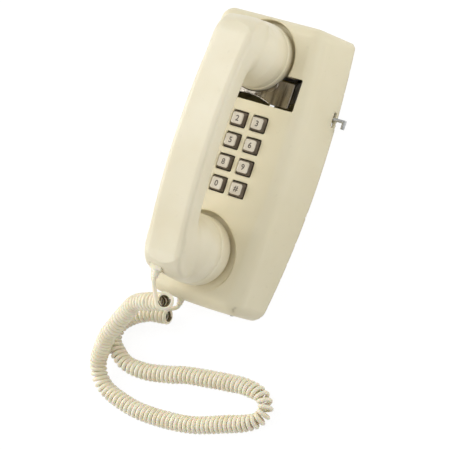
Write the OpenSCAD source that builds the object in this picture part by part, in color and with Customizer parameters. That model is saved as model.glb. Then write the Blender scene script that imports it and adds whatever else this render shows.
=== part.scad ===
// Upright wall telephone with a hanging handset, twelve push keys and a curly cord.
// It lies on its back: +X is its right, +Y runs up towards the receiver end, +Z comes out of
// the front, and the origin is midway between the two wall keyholes, on the back face.

/* [Housing] */
// Height of the housing, bottom to top
body_h = 220; // [200:1:240]
// Width of the back edge at its widest
body_w = 114.6; // [108:0.2:124]
// Width of the back edge at the top
top_w = 103.2; // [98:0.2:108]
// Width of the back edge at the bottom
bottom_w = 94; // [90:0.2:104]
// Height above the middle at which the housing is widest
widest_y = 10; // [-10:1:30]
// Depth from the wall to the key face
face_z = 42; // [40:0.5:46]
// Depth from the wall to the front edge at the very bottom
foot_z = 31.5; // [30:0.5:34]
// How much narrower than the back the centres of the front edge rounding are, each side
side_draft = 15.3; // [12:0.1:18]
// Radius of the long front edges
edge_r = 9; // [6:0.5:10]
// Radius of the upper back corners
top_corner_r = 4; // [3.6:0.2:8]
// Radius of the lower back corners
bottom_corner_r = 9; // [6:0.5:12]
// Wall thickness of the cover
wall = 2.8; // [2:0.1:3.2]

/* [Ear recess and mouth hollow] */
// Radius of the round recess that the ear cap sits in
recess_r = 28.5; // [27.5:0.1:30]
// Depth from the wall to the floor of the ear recess
recess_z = 30.6; // [30:0.1:30.8]
// Radius of the round hollow under the mouth cap
hollow_r = 30; // [29:0.1:31]
// Depth from the wall to the floor of the mouth hollow
hollow_z = 32; // [31.6:0.1:32.4]

/* [Keys] */
// Spacing of the key columns
key_pitch_x = 17.2; // [17:0.1:18]
// Spacing of the key rows
key_pitch_y = 16.8; // [16.4:0.1:17.6]
// Height of the middle of the key field above the keyholes' middle
keys_y = 4.9; // [3:0.1:7]
// Width of a key window
window_w = 13.2; // [12.6:0.1:13.8]
// Height of a key window
window_h = 12.2; // [11.8:0.1:12.8]
// Clearance between a key and its window, each side
key_gap = 0.9; // [0.4:0.1:0.9]
// Height of a key above the face
key_rise = 3.4; // [2.8:0.1:4]
// How far a key's sides lean in towards its top
key_lean = 1.4; // [0.8:0.1:2.2]
// Travel of a key
key_travel = 2.8; // [2:0.1:3]
// Width of a key's square stem
stem_w = 8; // [7:0.1:9]
// Clearance of sliding stems in their guides, each side
slide_gap = 0.2; // [0.1:0.05:0.4]

/* [Handset] */
// Middle of the handset above the keyholes' middle
handset_y = 3.5; // [2:0.5:4]
// Distance from the middle of the handset to the middle of each cup
cup_offset = 75.2; // [74:0.1:76]
// Distance from the middle of the handset to each end of the handle
handle_reach = 97; // [95:0.5:99]
// Depth from the wall to the top of the handle's arch
handle_z = 98.5; // [96:0.5:100]
// Radius of the handle's arch
arch_r = 376; // [340:1:420]
// Width of the handle
handle_w = 32; // [30:0.5:33]
// Thickness of the handle
handle_t = 19; // [17:0.5:20]
// Length of the slope at each end of the handle
end_slope_l = 7; // [5:0.5:10]
// Height of the slope at each end of the handle
end_slope_h = 7; // [5:0.5:9]
// Wall thickness of the handset shell
handset_wall = 2.5; // [2:0.1:3]
// Radius of the ear cap
ear_r = 25.5; // [24:0.1:26]
// Depth from the wall to the face of the ear cap
ear_face_z = 31; // [31:0.1:32]
// Depth from the wall to the back edge of the ear cap
ear_rim_z = 45; // [44:0.5:47]
// Radius of the mouth cap
mouth_r = 26.5; // [25:0.1:27]
// Depth from the wall to the face of the mouth cap
mouth_face_z = 32.4; // [32.4:0.1:34]
// Depth from the wall to the back edge of the mouth cap
mouth_rim_z = 51; // [49:0.5:52]
// Wall thickness of both caps
cap_wall = 3; // [2.4:0.1:3.4]

/* [Hook saddle] */
// Width of the opening that the saddle works in
hook_window_w = 81.2; // [78:0.2:83]
// Height of the lower edge of that opening above the keyholes' middle
hook_window_low = 45.2; // [44:0.1:46]
// Height of the upper edge of that opening above the keyholes' middle
hook_window_high = 69.9; // [69.5:0.1:71]
// Width of the saddle plate
saddle_w = 69.6; // [66:0.2:72]
// Height of the saddle plate, legs to horns
saddle_h = 19; // [17:0.5:19]
// Thickness of the saddle's metal
saddle_t = 1.8; // [1.4:0.1:2.2]
// Clearance between the saddle's curved seat and the ear cap
seat_gap = 0.4; // [0.3:0.1:0.8]
// Width of the metal left between the seat and the arch below it
saddle_band = 2.5; // [2:0.1:3]
// Height of the saddle's pivot above the keyholes' middle
pivot_y = 76; // [74:0.5:78]
// Depth from the wall to the saddle's pivot
pivot_z = 14; // [12:0.5:15]
// Radius of the saddle's pivot pin
pin_r = 2; // [1.5:0.1:2.5]
// Running clearance of turning parts
run_gap = 0.06; // [0.03:0.01:0.1]

/* [Base plate and wall fixing] */
// Thickness of the steel base plate
plate_t = 1.6; // [1.2:0.1:2]
// Gap between the base plate and the cover
plate_gap = 0.3; // [0.2:0.1:0.6]
// Spacing of the two keyholes
keyhole_pitch = 83; // [80:0.5:86]
// Radius of a keyhole's round mouth
keyhole_r = 4.8; // [4.4:0.1:5.2]
// Width of a keyhole's slot
keyhole_slot_w = 4.6; // [4:0.1:5]
// Length of a keyhole's slot above its mouth
keyhole_slot_l = 9; // [8:0.5:12]
// Size of the square window for the wall plug
plug_window = 28; // [26:0.5:30]

/* [Ringer] */
// Radius of a gong
gong_r = 18.8; // [17:0.1:19]
// Distance of each gong's middle from the centre line
gong_x = 22.6; // [22.4:0.1:23]
// Distance from the bottom of the housing up to the gongs' middles
gong_up = 38; // [37:0.5:40]
// Depth of a gong
gong_depth = 12; // [10:0.5:13]
// Radius of the clapper's ball
clapper_r = 2.2; // [1.8:0.1:2.4]
// Height of the loudness lever, above the keyholes' middle
lever_y = 51.5; // [50:0.5:56]
// How far the loudness lever stands out of the housing's side
lever_out = 8.5; // [8:0.5:12]

/* [Curly cord] */
// Diameter of the cord itself
cord_d = 3.2; // [3:0.1:3.6]
// Outer diameter of the curls
curl_d = 12.8; // [12:0.1:13.4]
// Number of curls
curls = 90; // [70:1:92]
// Length at each end over which the curls open up
curl_ease = 9; // [7:0.5:12]
// Length of straight cord at the handset
handset_tail = 16; // [14:0.5:18]
// Length of straight cord at the housing
base_tail = 9; // [8:0.5:11]
// Extra spacing of the curls where the loop turns back, as a share of the rest
turn_stretch = 0.45; // [0:0.05:0.5]

/* [Hidden] */
$fn = 48;

IVORY = [0.93, 0.89, 0.77];
STEEL = [0.68, 0.69, 0.70];
BRASS = [0.72, 0.58, 0.32];
BOARD_GREEN = [0.18, 0.36, 0.22];
CLEAR = [0.84, 0.86, 0.84];
DARK = [0.16, 0.15, 0.14];
eps = 0.01;

// ---- housing outline ----
top_y = body_h / 2;
half_w = body_w / 2;
station_count = 6;
hull_fn = 28;

// Half the width of the back edge at height y: widest at widest_y, bowed towards both ends.
function side_at(y) =
    let (end_w = y > widest_y ? top_w / 2 : bottom_w / 2,
         reach = y > widest_y ? top_y - widest_y : top_y + widest_y)
    half_w - (half_w - end_w) * pow((y - widest_y) / reach, 2);

// Depth of the front face at height y, before the hollows are cut.
slope_y = -46;
function front_at(y) =
    y > slope_y ? face_z : face_z - (face_z - foot_z) * (slope_y - y) / (slope_y + top_y - edge_r);

function station_y(i) = -top_y + bottom_corner_r
    + (body_h - bottom_corner_r - top_corner_r) * i / station_count;

// Back edge of the housing, drawn in by inset.
module back_edge(inset) {
    for (side = [-1, 1], i = [0:station_count]) {
        corner = i == 0 ? bottom_corner_r : top_corner_r;
        y = station_y(i);
        translate([side * (side_at(y) - corner), y, inset > 0 ? -1 : 0])
            cylinder(r = corner - inset, h = 2, $fn = hull_fn);
    }
}

// Rounded front edge of the housing, drawn in by inset.
module front_edge(inset) {
    low_y = -top_y + edge_r;
    high_y = top_y - edge_r;
    for (side = [-1, 1], y = [low_y, slope_y, widest_y, high_y])
        translate([side * (side_at(y) - side_draft), y, front_at(y) - edge_r])
            sphere(r = edge_r - inset, $fn = hull_fn);
}

// Round space under a cap, with its floor at z.
module cap_hollow(y, r, z, grow) {
    translate([0, y, z - grow]) cylinder(r = r + grow, h = face_z);
}

// Housing as a solid block, drawn in by inset on every side.
module housing_block(inset) {
    difference() {
        hull() {
            back_edge(inset);
            front_edge(inset);
        }
        cap_hollow(mouth_y, hollow_r, hollow_z, inset);
        cap_hollow(ear_y, recess_r, recess_z, inset);
    }
}

// ---- places that several pieces share ----
ear_y = handset_y + cup_offset;
mouth_y = handset_y - cup_offset;
frame_top_z = face_z - wall - 5.5;
frame_t = 2.5;
mat_top_z = frame_top_z - 7.7;
mat_t = 1.2;
board_t = 1.6;
pad_w = 2 * key_pitch_x + 34;
pad_h = 3 * key_pitch_y + 22;
post_x = pad_w / 2 - 3.5;
post_y = pad_h / 2 - 3;
post_r = 3;
screw_r = 1.2;
head_r = 2.6;
head_t = 1.4;
network_z = 6;
jack_x = -16;
jack_z = 14;
plug_w = 9.6;
plug_h = 7.6;
plug_hole_gap = 0.3;
plug_fit = 0.15;
jack_w = plug_w + 3;
jack_h = plug_h + 2;
jack_l = 15;
boot_r = 3.2;
boot_l = 4;

// Ringer, between the bottom of the housing and the speech network
gong_y = -top_y + gong_up;
ringer_z = 6;
ringer_bar_w = 76;
ringer_bar_h = 12;
ringer_strip_w = 14;
pivot_post_r = 1.5;
pivot_post_l = 12;
clapper_pivot_y = gong_y + 20;
clapper_z = 8;
armature_w = 28;
armature_t = 1.6;
armature_h = 3;
coil_x = 16;
coil_r = 7;
coil_l = 18;
coil_y = clapper_pivot_y + 2.5;

// Speech network
network_w = 78;
network_top_y = 29;
network_low_y = coil_y + coil_l + 2.5;
network_window = plug_window + 4;
standoff_r = 3;
standoff_inset = 5;
transformer_x = 27;
transformer_y = 14;
transformer_h = 22;
lamination_w = 17;
lamination_t = 3;
winding_w = 12;
winding_t = 8;
capacitor_x = 27;
capacitor_y = 16;
capacitor_pitch = 15;
capacitor_r = 5;
capacitor_h = 11;
tongue_h = 11;
tongue_l = 12;
wall_plug_w = plug_window + 8;
wall_plug_h = 16;
wall_plug_t = 3;

module at_corners(x, y) {
    for (sx = [-1, 1], sy = [-1, 1]) translate([sx * x, sy * y, 0]) children();
}

// A block on the plane z = 0, centred on x and y.
module block(size) {
    translate([-size[0] / 2, -size[1] / 2, 0]) cube(size);
}

module each_key() {
    for (col = [-1:1], row = [-1.5:1.5])
        translate([col * key_pitch_x, keys_y + row * key_pitch_y, 0]) children();
}

// ---- base plate, cover and their screws ----
keyhole_reach = keyhole_pitch / 2;
flange_t = 1.6;
flange_h = 12;
flange_w = 64;
flange_y = -top_y + wall + plate_gap;
cover_screw_x = 27.5;
cover_screw_z = 7;
lever_slot_w = 13;
lever_z = 3;
lever_t = 2.4;

module base_plate() {
    inset = wall + plate_gap + 0.8;
    steps = 10;
    low = flange_y;
    high = top_y - wall - plate_gap;
    start = low + bottom_corner_r - wall;
    ys = [for (i = [0:steps]) start + (high - start) * i / steps];
    right = concat([[side_at(low) - inset - bottom_corner_r + wall, low]],
                   [for (y = ys) [side_at(y) - inset, y]]);
    left = [for (i = [len(right) - 1:-1:0]) [-right[i][0], right[i][1]]];
    color(STEEL) difference() {
        union() {
            linear_extrude(plate_t) polygon(concat(right, left));
            translate([-flange_w / 2, flange_y, 0]) cube([flange_w, flange_t, flange_h]);
        }
        for (side = [-1, 1]) translate([0, side * keyhole_reach, -1]) {
            cylinder(r = keyhole_r, h = plate_t + 2);
            translate([-keyhole_slot_w / 2, 0, 0])
                cube([keyhole_slot_w, keyhole_slot_l, plate_t + 2]);
            translate([0, keyhole_slot_l, 0]) cylinder(d = keyhole_slot_w, h = plate_t + 2);
        }
        translate([0, 0, -1]) block([plug_window, plug_window, plate_t + 2]);
        for (side = [-1, 1]) translate([side * cover_screw_x, flange_y + 2, cover_screw_z])
            rotate([90, 0, 0]) cylinder(r = screw_r, h = 5);
        translate([jack_x - 8, flange_y - 1, plate_t]) cube([16, 5, flange_h]);
    }
}

module housing_cover() {
    color(IVORY) {
        difference() {
            housing_block(0);
            housing_block(wall);
            each_key() translate([0, 0, face_z - 2 * wall]) block([window_w, window_h, 4 * wall]);
            translate([-hook_window_w / 2, hook_window_low, recess_z - 2 * wall])
                cube([hook_window_w, hook_window_high - hook_window_low, face_z]);
            translate([half_w - 10, lever_y - lever_slot_w / 2, lever_z - 0.6])
                cube([20, lever_slot_w, lever_t + 1.2]);
            translate([jack_x, -top_y + wall / 2, jack_z - plug_h / 2 - plug_hole_gap])
                block([plug_w + 2 * plug_hole_gap, wall + 4, plug_h + 2 * plug_hole_gap]);
            for (side = [-1, 1]) translate([side * cover_screw_x, -top_y + wall + 1, cover_screw_z])
                rotate([90, 0, 0]) cylinder(r = screw_r + 0.3, h = wall + 3);
        }
        translate([0, keys_y, frame_top_z])
            at_corners(post_x, post_y) cylinder(r = post_r, h = face_z - wall - frame_top_z + 0.5);
    }
}

module cover_screws() {
    shank = wall + plate_gap + flange_t + 2;
    color(STEEL) for (side = [-1, 1])
        translate([side * cover_screw_x, -top_y, cover_screw_z]) rotate([-90, 0, 0]) {
            cylinder(r = screw_r, h = shank);
            difference() {
                translate([0, 0, -head_t]) cylinder(r = head_r, h = head_t);
                translate([0, 0, -head_t - 0.1]) block([2 * head_r + 1, 0.7, 0.8]);
            }
        }
}

// ---- keypad ----
module keypad_frame() {
    z = frame_top_z - frame_t;
    color(DARK) difference() {
        union() {
            translate([0, keys_y, z]) block([pad_w, pad_h, frame_t]);
            translate([0, keys_y, mat_top_z - mat_t])
                at_corners(post_x, post_y) cylinder(r = post_r, h = z - mat_top_z + mat_t + eps);
        }
        each_key() translate([0, 0, z - 1])
            block([stem_w + 2 * slide_gap, stem_w + 2 * slide_gap, frame_t + 2]);
        translate([0, keys_y, mat_top_z - mat_t - 1])
            at_corners(post_x, post_y) cylinder(r = screw_r, h = 8);
    }
}

module contact_mat() {
    color([0.62, 0.62, 0.58]) translate([0, keys_y, mat_top_z - mat_t])
        block([pad_w - 16, pad_h - 16, mat_t]);
}

module keypad_board() {
    color(BOARD_GREEN) translate([0, keys_y, mat_top_z - mat_t - board_t]) difference() {
        block([pad_w, pad_h, board_t]);
        translate([0, 0, -1]) at_corners(post_x, post_y) cylinder(r = screw_r, h = board_t + 2);
    }
}

module keypad_screws() {
    z = mat_top_z - mat_t - board_t;
    color(STEEL) translate([0, keys_y, z - head_t]) at_corners(post_x, post_y) {
        cylinder(r = head_r, h = head_t);
        cylinder(r = screw_r, h = head_t + board_t + 6);
    }
}

// One key: stem, retaining flange, and a block whose sides lean in to a flat top.
module key(col, row) {
    w = window_w - 2 * key_gap;
    h = window_h - 2 * key_gap;
    flange_z = face_z - wall - 0.4;
    flange_thick = 1.2;
    stem_end_z = mat_top_z + key_travel + 0.5;
    color([0.85, 0.82, 0.76]) translate([col * key_pitch_x, keys_y + row * key_pitch_y, 0]) {
        translate([0, 0, stem_end_z]) block([stem_w, stem_w, flange_z - stem_end_z]);
        translate([0, 0, flange_z - flange_thick])
            block([key_pitch_x - 0.8, key_pitch_y - 0.8, flange_thick]);
        translate([0, 0, flange_z - eps]) block([w, h, face_z + 0.4 - flange_z]);
        hull() {
            translate([0, 0, face_z]) block([w, h, 0.4]);
            translate([0, 0, face_z + key_rise - 0.4])
                block([w - 2 * key_lean, h - 2 * key_lean, 0.4]);
        }
    }
}

// ---- speech network and line parts ----
network_h = network_top_y - network_low_y;
network_y = (network_top_y + network_low_y) / 2;

module network_board() {
    color([0.55, 0.42, 0.22]) difference() {
        translate([0, network_y, network_z]) block([network_w, network_h, board_t]);
        translate([0, 0, network_z - 1]) block([network_window, network_window, board_t + 2]);
    }
}

module board_standoffs() {
    color(STEEL) translate([0, network_y, plate_t])
        at_corners(network_w / 2 - standoff_inset, network_h / 2 - standoff_inset)
            cylinder(r = standoff_r, h = network_z - plate_t);
}

module line_transformer() {
    color([0.35, 0.33, 0.32]) translate([transformer_x, transformer_y, network_z + board_t]) {
        block([lamination_w, transformer_h, lamination_t]);
        translate([0, 0, lamination_t]) block([winding_w, transformer_h, winding_t]);
    }
}

module network_capacitors() {
    color([0.78, 0.70, 0.45]) translate([-capacitor_x, capacitor_y, network_z + board_t])
        for (i = [0:2]) translate([0, -capacitor_pitch * i, 0])
            cylinder(r = capacitor_r, h = capacitor_h);
}

// Plug that meets the wall jack, flush with the back face.
module wall_plug() {
    color(CLEAR) {
        translate([0, 0, 0.2]) block([plug_w + 2, tongue_h, tongue_l]);
        translate([0, 0, network_z + board_t]) block([wall_plug_w, wall_plug_h, wall_plug_t]);
    }
}

// Hollow block with a slot that takes a cord plug from -Y.
module jack_block(depth) {
    difference() {
        translate([-jack_w / 2, 0, -jack_h / 2]) cube([jack_w, depth, jack_h]);
        translate([-plug_w / 2 - plug_fit, -1, -plug_h / 2 - plug_fit])
            cube([plug_w + 2 * plug_fit, depth - 1, plug_h + 2 * plug_fit]);
    }
}

jack_face_y = -top_y + wall + 0.1;
module cord_jack() {
    color(DARK) {
        translate([jack_x, jack_face_y, jack_z]) jack_block(jack_l);
        translate([jack_x - 5, jack_face_y + 3, plate_t])
            cube([10, jack_l - 3, jack_z - jack_h / 2 - plate_t + eps]);
    }
}

// Clear plug with a round boot; its boot's end lies on y = 0 and it points along +Y.
module cord_plug(body_l) {
    translate([0, boot_l, 0]) rotate([90, 0, 0]) cylinder(r = boot_r, h = boot_l);
    translate([-plug_w / 2, boot_l, -plug_h / 2]) cube([plug_w, body_l, plug_h]);
}

base_cord_y = -top_y - 4;
module base_plug() {
    color(CLEAR) translate([jack_x, base_cord_y, jack_z]) cord_plug(13);
}

// ---- hook ----
seat_r = ear_r + seat_gap;
saddle_low = hook_window_low + 1.3;
saddle_front_z = face_z - 2;
arm_x = saddle_w / 2 - saddle_t;
bracket_x = arm_x + saddle_t + 1;
ear_t = 2;
bracket_h = 14;
bracket_low = 6;
switch_x = 18;
switch_w = 20;
switch_h = 12;
switch_t = 14;
switch_foot_w = 30;

module hook_bracket() {
    color(STEEL) {
        translate([-bracket_x - ear_t, pivot_y - bracket_low, plate_t])
            cube([2 * (bracket_x + ear_t), bracket_h, saddle_t]);
        for (side = [0, 1]) mirror([side, 0, 0])
            translate([bracket_x, pivot_y - bracket_low, plate_t]) difference() {
                cube([ear_t, 2 * bracket_low, pivot_z + pin_r + 3 - plate_t]);
                translate([-1, bracket_low, pivot_z - plate_t]) rotate([0, 90, 0])
                    cylinder(r = pin_r, h = ear_t + 2);
            }
    }
}

module hook_pin() {
    l = 2 * (bracket_x + ear_t) + 1;
    color(STEEL) translate([-l / 2, pivot_y, pivot_z]) rotate([0, 90, 0]) cylinder(r = pin_r, h = l);
}

module hook_switch() {
    y = pivot_y + bracket_h - bracket_low + 0.5 + switch_h / 2;
    color(DARK) translate([-switch_x, y, plate_t]) {
        block([switch_w, switch_h, switch_t]);
        block([switch_foot_w, switch_h - 2, 2]);
    }
}

// Saddle: a plate with two horns and an arch, a curved seat behind it, and two arms.
module hook_saddle() {
    notch_low = ear_y - seat_r;
    arch_top = notch_low - saddle_band;
    arch_half = 19;
    rise = arch_top - saddle_low;
    arch_radius = (arch_half * arch_half + rise * rise) / (2 * rise);
    plate_z = saddle_front_z - saddle_t;
    seat_half = 21;
    seat_depth = 4.5;
    color([0.80, 0.80, 0.82]) difference() {
        union() {
            translate([0, 0, plate_z]) linear_extrude(saddle_t) difference() {
                translate([-saddle_w / 2, saddle_low]) square([saddle_w, saddle_h]);
                translate([0, arch_top - arch_radius]) circle(r = arch_radius, $fn = 96);
            }
            intersection() {
                translate([0, ear_y, plate_z - seat_depth])
                    cylinder(r = seat_r + saddle_t, h = seat_depth + saddle_t, $fn = 96);
                translate([-seat_half, arch_top, 0]) cube([2 * seat_half, 16, face_z]);
            }
            for (side = [0, 1]) mirror([side, 0, 0]) translate([arm_x, 0, 0])
                rotate([90, 0, 90]) linear_extrude(saddle_t) union() {
                    translate([pivot_y, pivot_z]) circle(r = 5);
                    polygon([[pivot_y - 4.6, pivot_z - 2], [pivot_y + 4.6, pivot_z + 2],
                             [saddle_low + saddle_h, plate_z + 1],
                             [saddle_low + 4, plate_z + 1]]);
                }
        }
        translate([0, ear_y, pivot_z]) cylinder(r = seat_r, h = face_z, $fn = 96);
        translate([-saddle_w, pivot_y, pivot_z]) rotate([0, 90, 0])
            cylinder(r = pin_r + run_gap, h = 2 * saddle_w);
    }
}

// ---- ringer ----
module ringer_frame() {
    strip_low_y = gong_y + ringer_bar_h / 2 - eps;
    color(STEEL) translate([0, 0, plate_t]) {
        translate([0, gong_y, 0]) block([ringer_bar_w, ringer_bar_h, saddle_t]);
        for (side = [-1, 1]) translate([side * coil_x - ringer_strip_w / 2, strip_low_y, 0])
            cube([ringer_strip_w, coil_y + coil_l - strip_low_y, saddle_t]);
        translate([0, clapper_pivot_y, 0]) block([2 * coil_x, ringer_bar_h / 2, saddle_t]);
        for (side = [-1, 1]) translate([side * gong_x, gong_y, 0])
            cylinder(r = gong_post_r, h = ringer_z - plate_t);
        translate([0, clapper_pivot_y, 0]) cylinder(r = pivot_post_r, h = pivot_post_l);
        translate([0, clapper_pivot_y, 0])
            cylinder(r = 2 * pivot_post_r, h = clapper_z - plate_t - 0.1);
    }
}

// Two wound coils that lie along Y on the frame's strips.
module ringer_coils() {
    rim_r = coil_r + 1;
    color([0.60, 0.25, 0.15]) for (side = [-1, 1])
        translate([side * coil_x, coil_y, plate_t + saddle_t + rim_r]) rotate([-90, 0, 0]) {
            cylinder(r = coil_r, h = coil_l);
            for (end = [0, coil_l - 1.5]) translate([0, 0, end]) cylinder(r = rim_r, h = 1.5);
        }
}

gong_wall = 1.4;
gong_post_r = 4;
gong_bore_r = 2;

module gong() {
    inner_r = gong_r - gong_wall;
    color(BRASS) translate([0, 0, ringer_z]) rotate_extrude($fn = 96)
        polygon([[gong_bore_r, gong_depth - gong_wall], [inner_r - 3.6, gong_depth - gong_wall],
                 [inner_r, gong_depth - 5], [inner_r + 0.2, 0], [gong_r, 0],
                 [gong_r, gong_depth - 4.4], [gong_r - 4.4, gong_depth], [gong_bore_r, gong_depth]]);
}

module gong_left() {
    translate([-gong_x, gong_y, 0]) gong();
}

module gong_right() {
    translate([gong_x, gong_y, 0]) gong();
}

module gong_screws() {
    color(STEEL) for (side = [-1, 1]) translate([side * gong_x, gong_y, ringer_z]) {
        cylinder(r = gong_bore_r, h = gong_depth);
        cylinder(r = gong_post_r, h = gong_depth - gong_wall);
        translate([0, 0, gong_depth]) cylinder(r = gong_post_r, h = 2);
    }
}

// Clapper: an armature bar below the coils, a bushed hub, and an arm with a ball.
module clapper() {
    arm_w = 2;
    hub_r = pivot_post_r + 2.5;
    color(BRASS) translate([0, 0, clapper_z]) difference() {
        union() {
            translate([0, clapper_pivot_y, 0]) cylinder(r = hub_r, h = armature_h);
            translate([-arm_w / 2, gong_y, 0])
                cube([arm_w, clapper_pivot_y - gong_y - pivot_post_r - 1.5, arm_w]);
            translate([0, gong_y, arm_w / 2]) sphere(r = clapper_r);
            translate([0, clapper_pivot_y, 0]) block([armature_w, armature_t, armature_h]);
        }
        translate([0, clapper_pivot_y, -1]) cylinder(r = pivot_post_r + run_gap, h = armature_h + 2);
    }
}

// ---- loudness lever ----
lever_pivot_x = 40;
lever_bend = 7;
lever_w = 2.5;
rivet_r = 2;
rivet_head_t = 1.1;

module lever_rivet() {
    color(STEEL) translate([lever_pivot_x, lever_y, plate_t]) {
        cylinder(r = 2 * rivet_r, h = lever_z - plate_t - 0.1);
        cylinder(r = rivet_r, h = lever_z + lever_t + 0.1 + rivet_head_t - plate_t);
        translate([0, 0, lever_z + lever_t + 0.1 - plate_t])
            cylinder(r = 1.6 * rivet_r, h = rivet_head_t);
    }
}

module loudness_lever() {
    end_x = half_w + lever_out;
    color([0.62, 0.60, 0.56]) difference() {
        union() {
            translate([lever_pivot_x, lever_y, lever_z]) cylinder(r = rivet_r + 2.5, h = lever_t);
            translate([lever_pivot_x, lever_y - lever_w / 2, lever_z])
                cube([end_x - lever_pivot_x, lever_w, lever_t]);
            translate([end_x - lever_w, lever_y + lever_w / 2 - lever_bend, lever_z])
                cube([lever_w, lever_bend, lever_t]);
        }
        translate([lever_pivot_x, lever_y, lever_z - 1])
            cylinder(r = rivet_r + run_gap, h = lever_t + 2);
    }
}

// ---- handset ----
// Bar that follows the handle's arch, drawn in by inset, with its ends cut square.
module arch_bar(inset, reach) {
    w = handle_w / 2 - inset;
    outer = arch_r - inset;
    inner = arch_r - handle_t + inset;
    sweep = 2 * asin(reach / arch_r);
    translate([0, handset_y, handle_z - arch_r]) rotate([90, 0, 90])
        rotate([0, 0, 90 - sweep / 2]) rotate_extrude(angle = sweep, $fn = 360)
            polygon([[outer, -w + 2], [outer - 2, -w], [inner + 5, -w], [inner, -w + 4],
                     [inner, w - 4], [inner + 5, w], [outer - 2, w], [outer, w - 2]]);
}

end_outer_z = handle_z - handle_reach * handle_reach / (2 * arch_r);

// Side outline that slopes the handle's outer corners, drawn in by inset.
module end_slope(inset) {
    low = handle_z - 60;
    reach = handle_reach - inset;
    right = [[reach, low], [reach, end_outer_z - end_slope_h - inset],
             [reach - end_slope_l, end_outer_z + 0.6 - inset], [reach - 20, handle_z + 1]];
    left = [for (i = [len(right) - 1:-1:0]) [-right[i][0], right[i][1]]];
    translate([0, handset_y, 0]) rotate([90, 0, 90]) translate([0, 0, -handle_w])
        linear_extrude(2 * handle_w) polygon(concat(right, left));
}

// Bell that joins a cap to the handle.
module bell(y, r, z) {
    top = end_outer_z - 1;
    rise = top - z;
    translate([0, y, z]) rotate_extrude($fn = 96)
        polygon([[0, 0], [r, 0], [r, 0.15 * rise], [r - 1.5, 0.38 * rise],
                 [r - 6, 0.74 * rise], [handle_w / 2 - 1, rise], [0, rise]]);
}

module capsule_room(y, r, z, depth) {
    translate([0, y, z - 1]) cylinder(r = r, h = depth + 1, $fn = 96);
}

ear_bell_r = ear_r - 0.8;
mouth_bell_r = mouth_r - 1;
ear_room_r = ear_r - cap_wall - 0.3;
mouth_room_r = mouth_r - cap_wall - 0.3;
room_depth = 11;
handset_jack_x = -5;
handset_jack_depth = 3.5;
handset_jack_y = handset_y - handle_reach + handset_wall + handset_jack_depth;
handset_jack_z = end_outer_z - 7.1;

module handset_shell() {
    color(IVORY) difference() {
        union() {
            intersection() {
                arch_bar(0, handle_reach);
                end_slope(0);
            }
            bell(ear_y, ear_bell_r, ear_rim_z);
            bell(mouth_y, mouth_bell_r, mouth_rim_z);
        }
        intersection() {
            arch_bar(handset_wall, handle_reach - handset_wall);
            end_slope(handset_wall);
        }
        capsule_room(ear_y, ear_room_r, ear_rim_z, room_depth);
        capsule_room(mouth_y, mouth_room_r, mouth_rim_z, room_depth);
        translate([handset_jack_x, handset_jack_y, handset_jack_z - plug_h / 2 - plug_hole_gap])
            block([plug_w + 2 * plug_hole_gap, 16, plug_h + 2 * plug_hole_gap]);
        translate([handset_jack_x, handset_jack_y + jack_l / 2, handset_jack_z - jack_h / 2 - 0.1])
            block([jack_w + 0.2, jack_l, jack_h + 0.2]);
    }
}

// Screw cap: a shallow domed cup, open towards +Z.
module cap(r, face, rim) {
    rotate_extrude($fn = 96)
        polygon([[0, face], [0.55 * r, face + 0.3], [0.84 * r, face + 2], [r, face + 5.5],
                 [r, rim - 1.2], [r - 0.6, rim], [r - cap_wall, rim], [r - cap_wall, face + 5],
                 [0, face + 5]]);
}

module sound_holes(face, ring_r) {
    for (i = [0:5]) rotate([0, 0, 60 * i]) translate([ring_r, 0, face - 1]) cylinder(r = 1, h = 8);
    translate([0, 0, face - 1]) cylinder(r = 1, h = 8);
}

module ear_cap() {
    color(IVORY) translate([0, ear_y, 0]) difference() {
        cap(ear_r, ear_face_z, ear_rim_z);
        sound_holes(ear_face_z, 6);
    }
}

module mouth_cap() {
    color(IVORY) translate([0, mouth_y, 0]) difference() {
        cap(mouth_r, mouth_face_z, mouth_rim_z);
        sound_holes(mouth_face_z, 8);
    }
}

module receiver_capsule() {
    r = ear_r - cap_wall - 0.6;
    color(STEEL) translate([0, ear_y, ear_face_z + 5]) {
        cylinder(r = r, h = 9);
        cylinder(r = r - 6, h = 15);
    }
}

transmitter_r = mouth_r - cap_wall - 0.6;
transmitter_h = 11;
module transmitter_capsule() {
    color(STEEL) translate([0, mouth_y, mouth_face_z + 5]) {
        cylinder(r = transmitter_r, h = transmitter_h - 3);
        cylinder(r = transmitter_r - 5, h = transmitter_h);
    }
}

module transmitter_cup() {
    z = mouth_face_z + 5 + transmitter_h;
    color(DARK) translate([0, mouth_y, z]) {
        cylinder(r = transmitter_r, h = 2);
        cylinder(r = transmitter_r - 10, h = 6);
    }
}

module handset_jack() {
    color(DARK) translate([handset_jack_x, handset_jack_y, handset_jack_z]) jack_block(jack_l);
}

handset_cord_y = handset_y - handle_reach - boot_l - 0.5;
module handset_plug() {
    color(CLEAR) translate([handset_jack_x, handset_cord_y, handset_jack_z])
        cord_plug(13 + handset_jack_depth);
}

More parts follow.
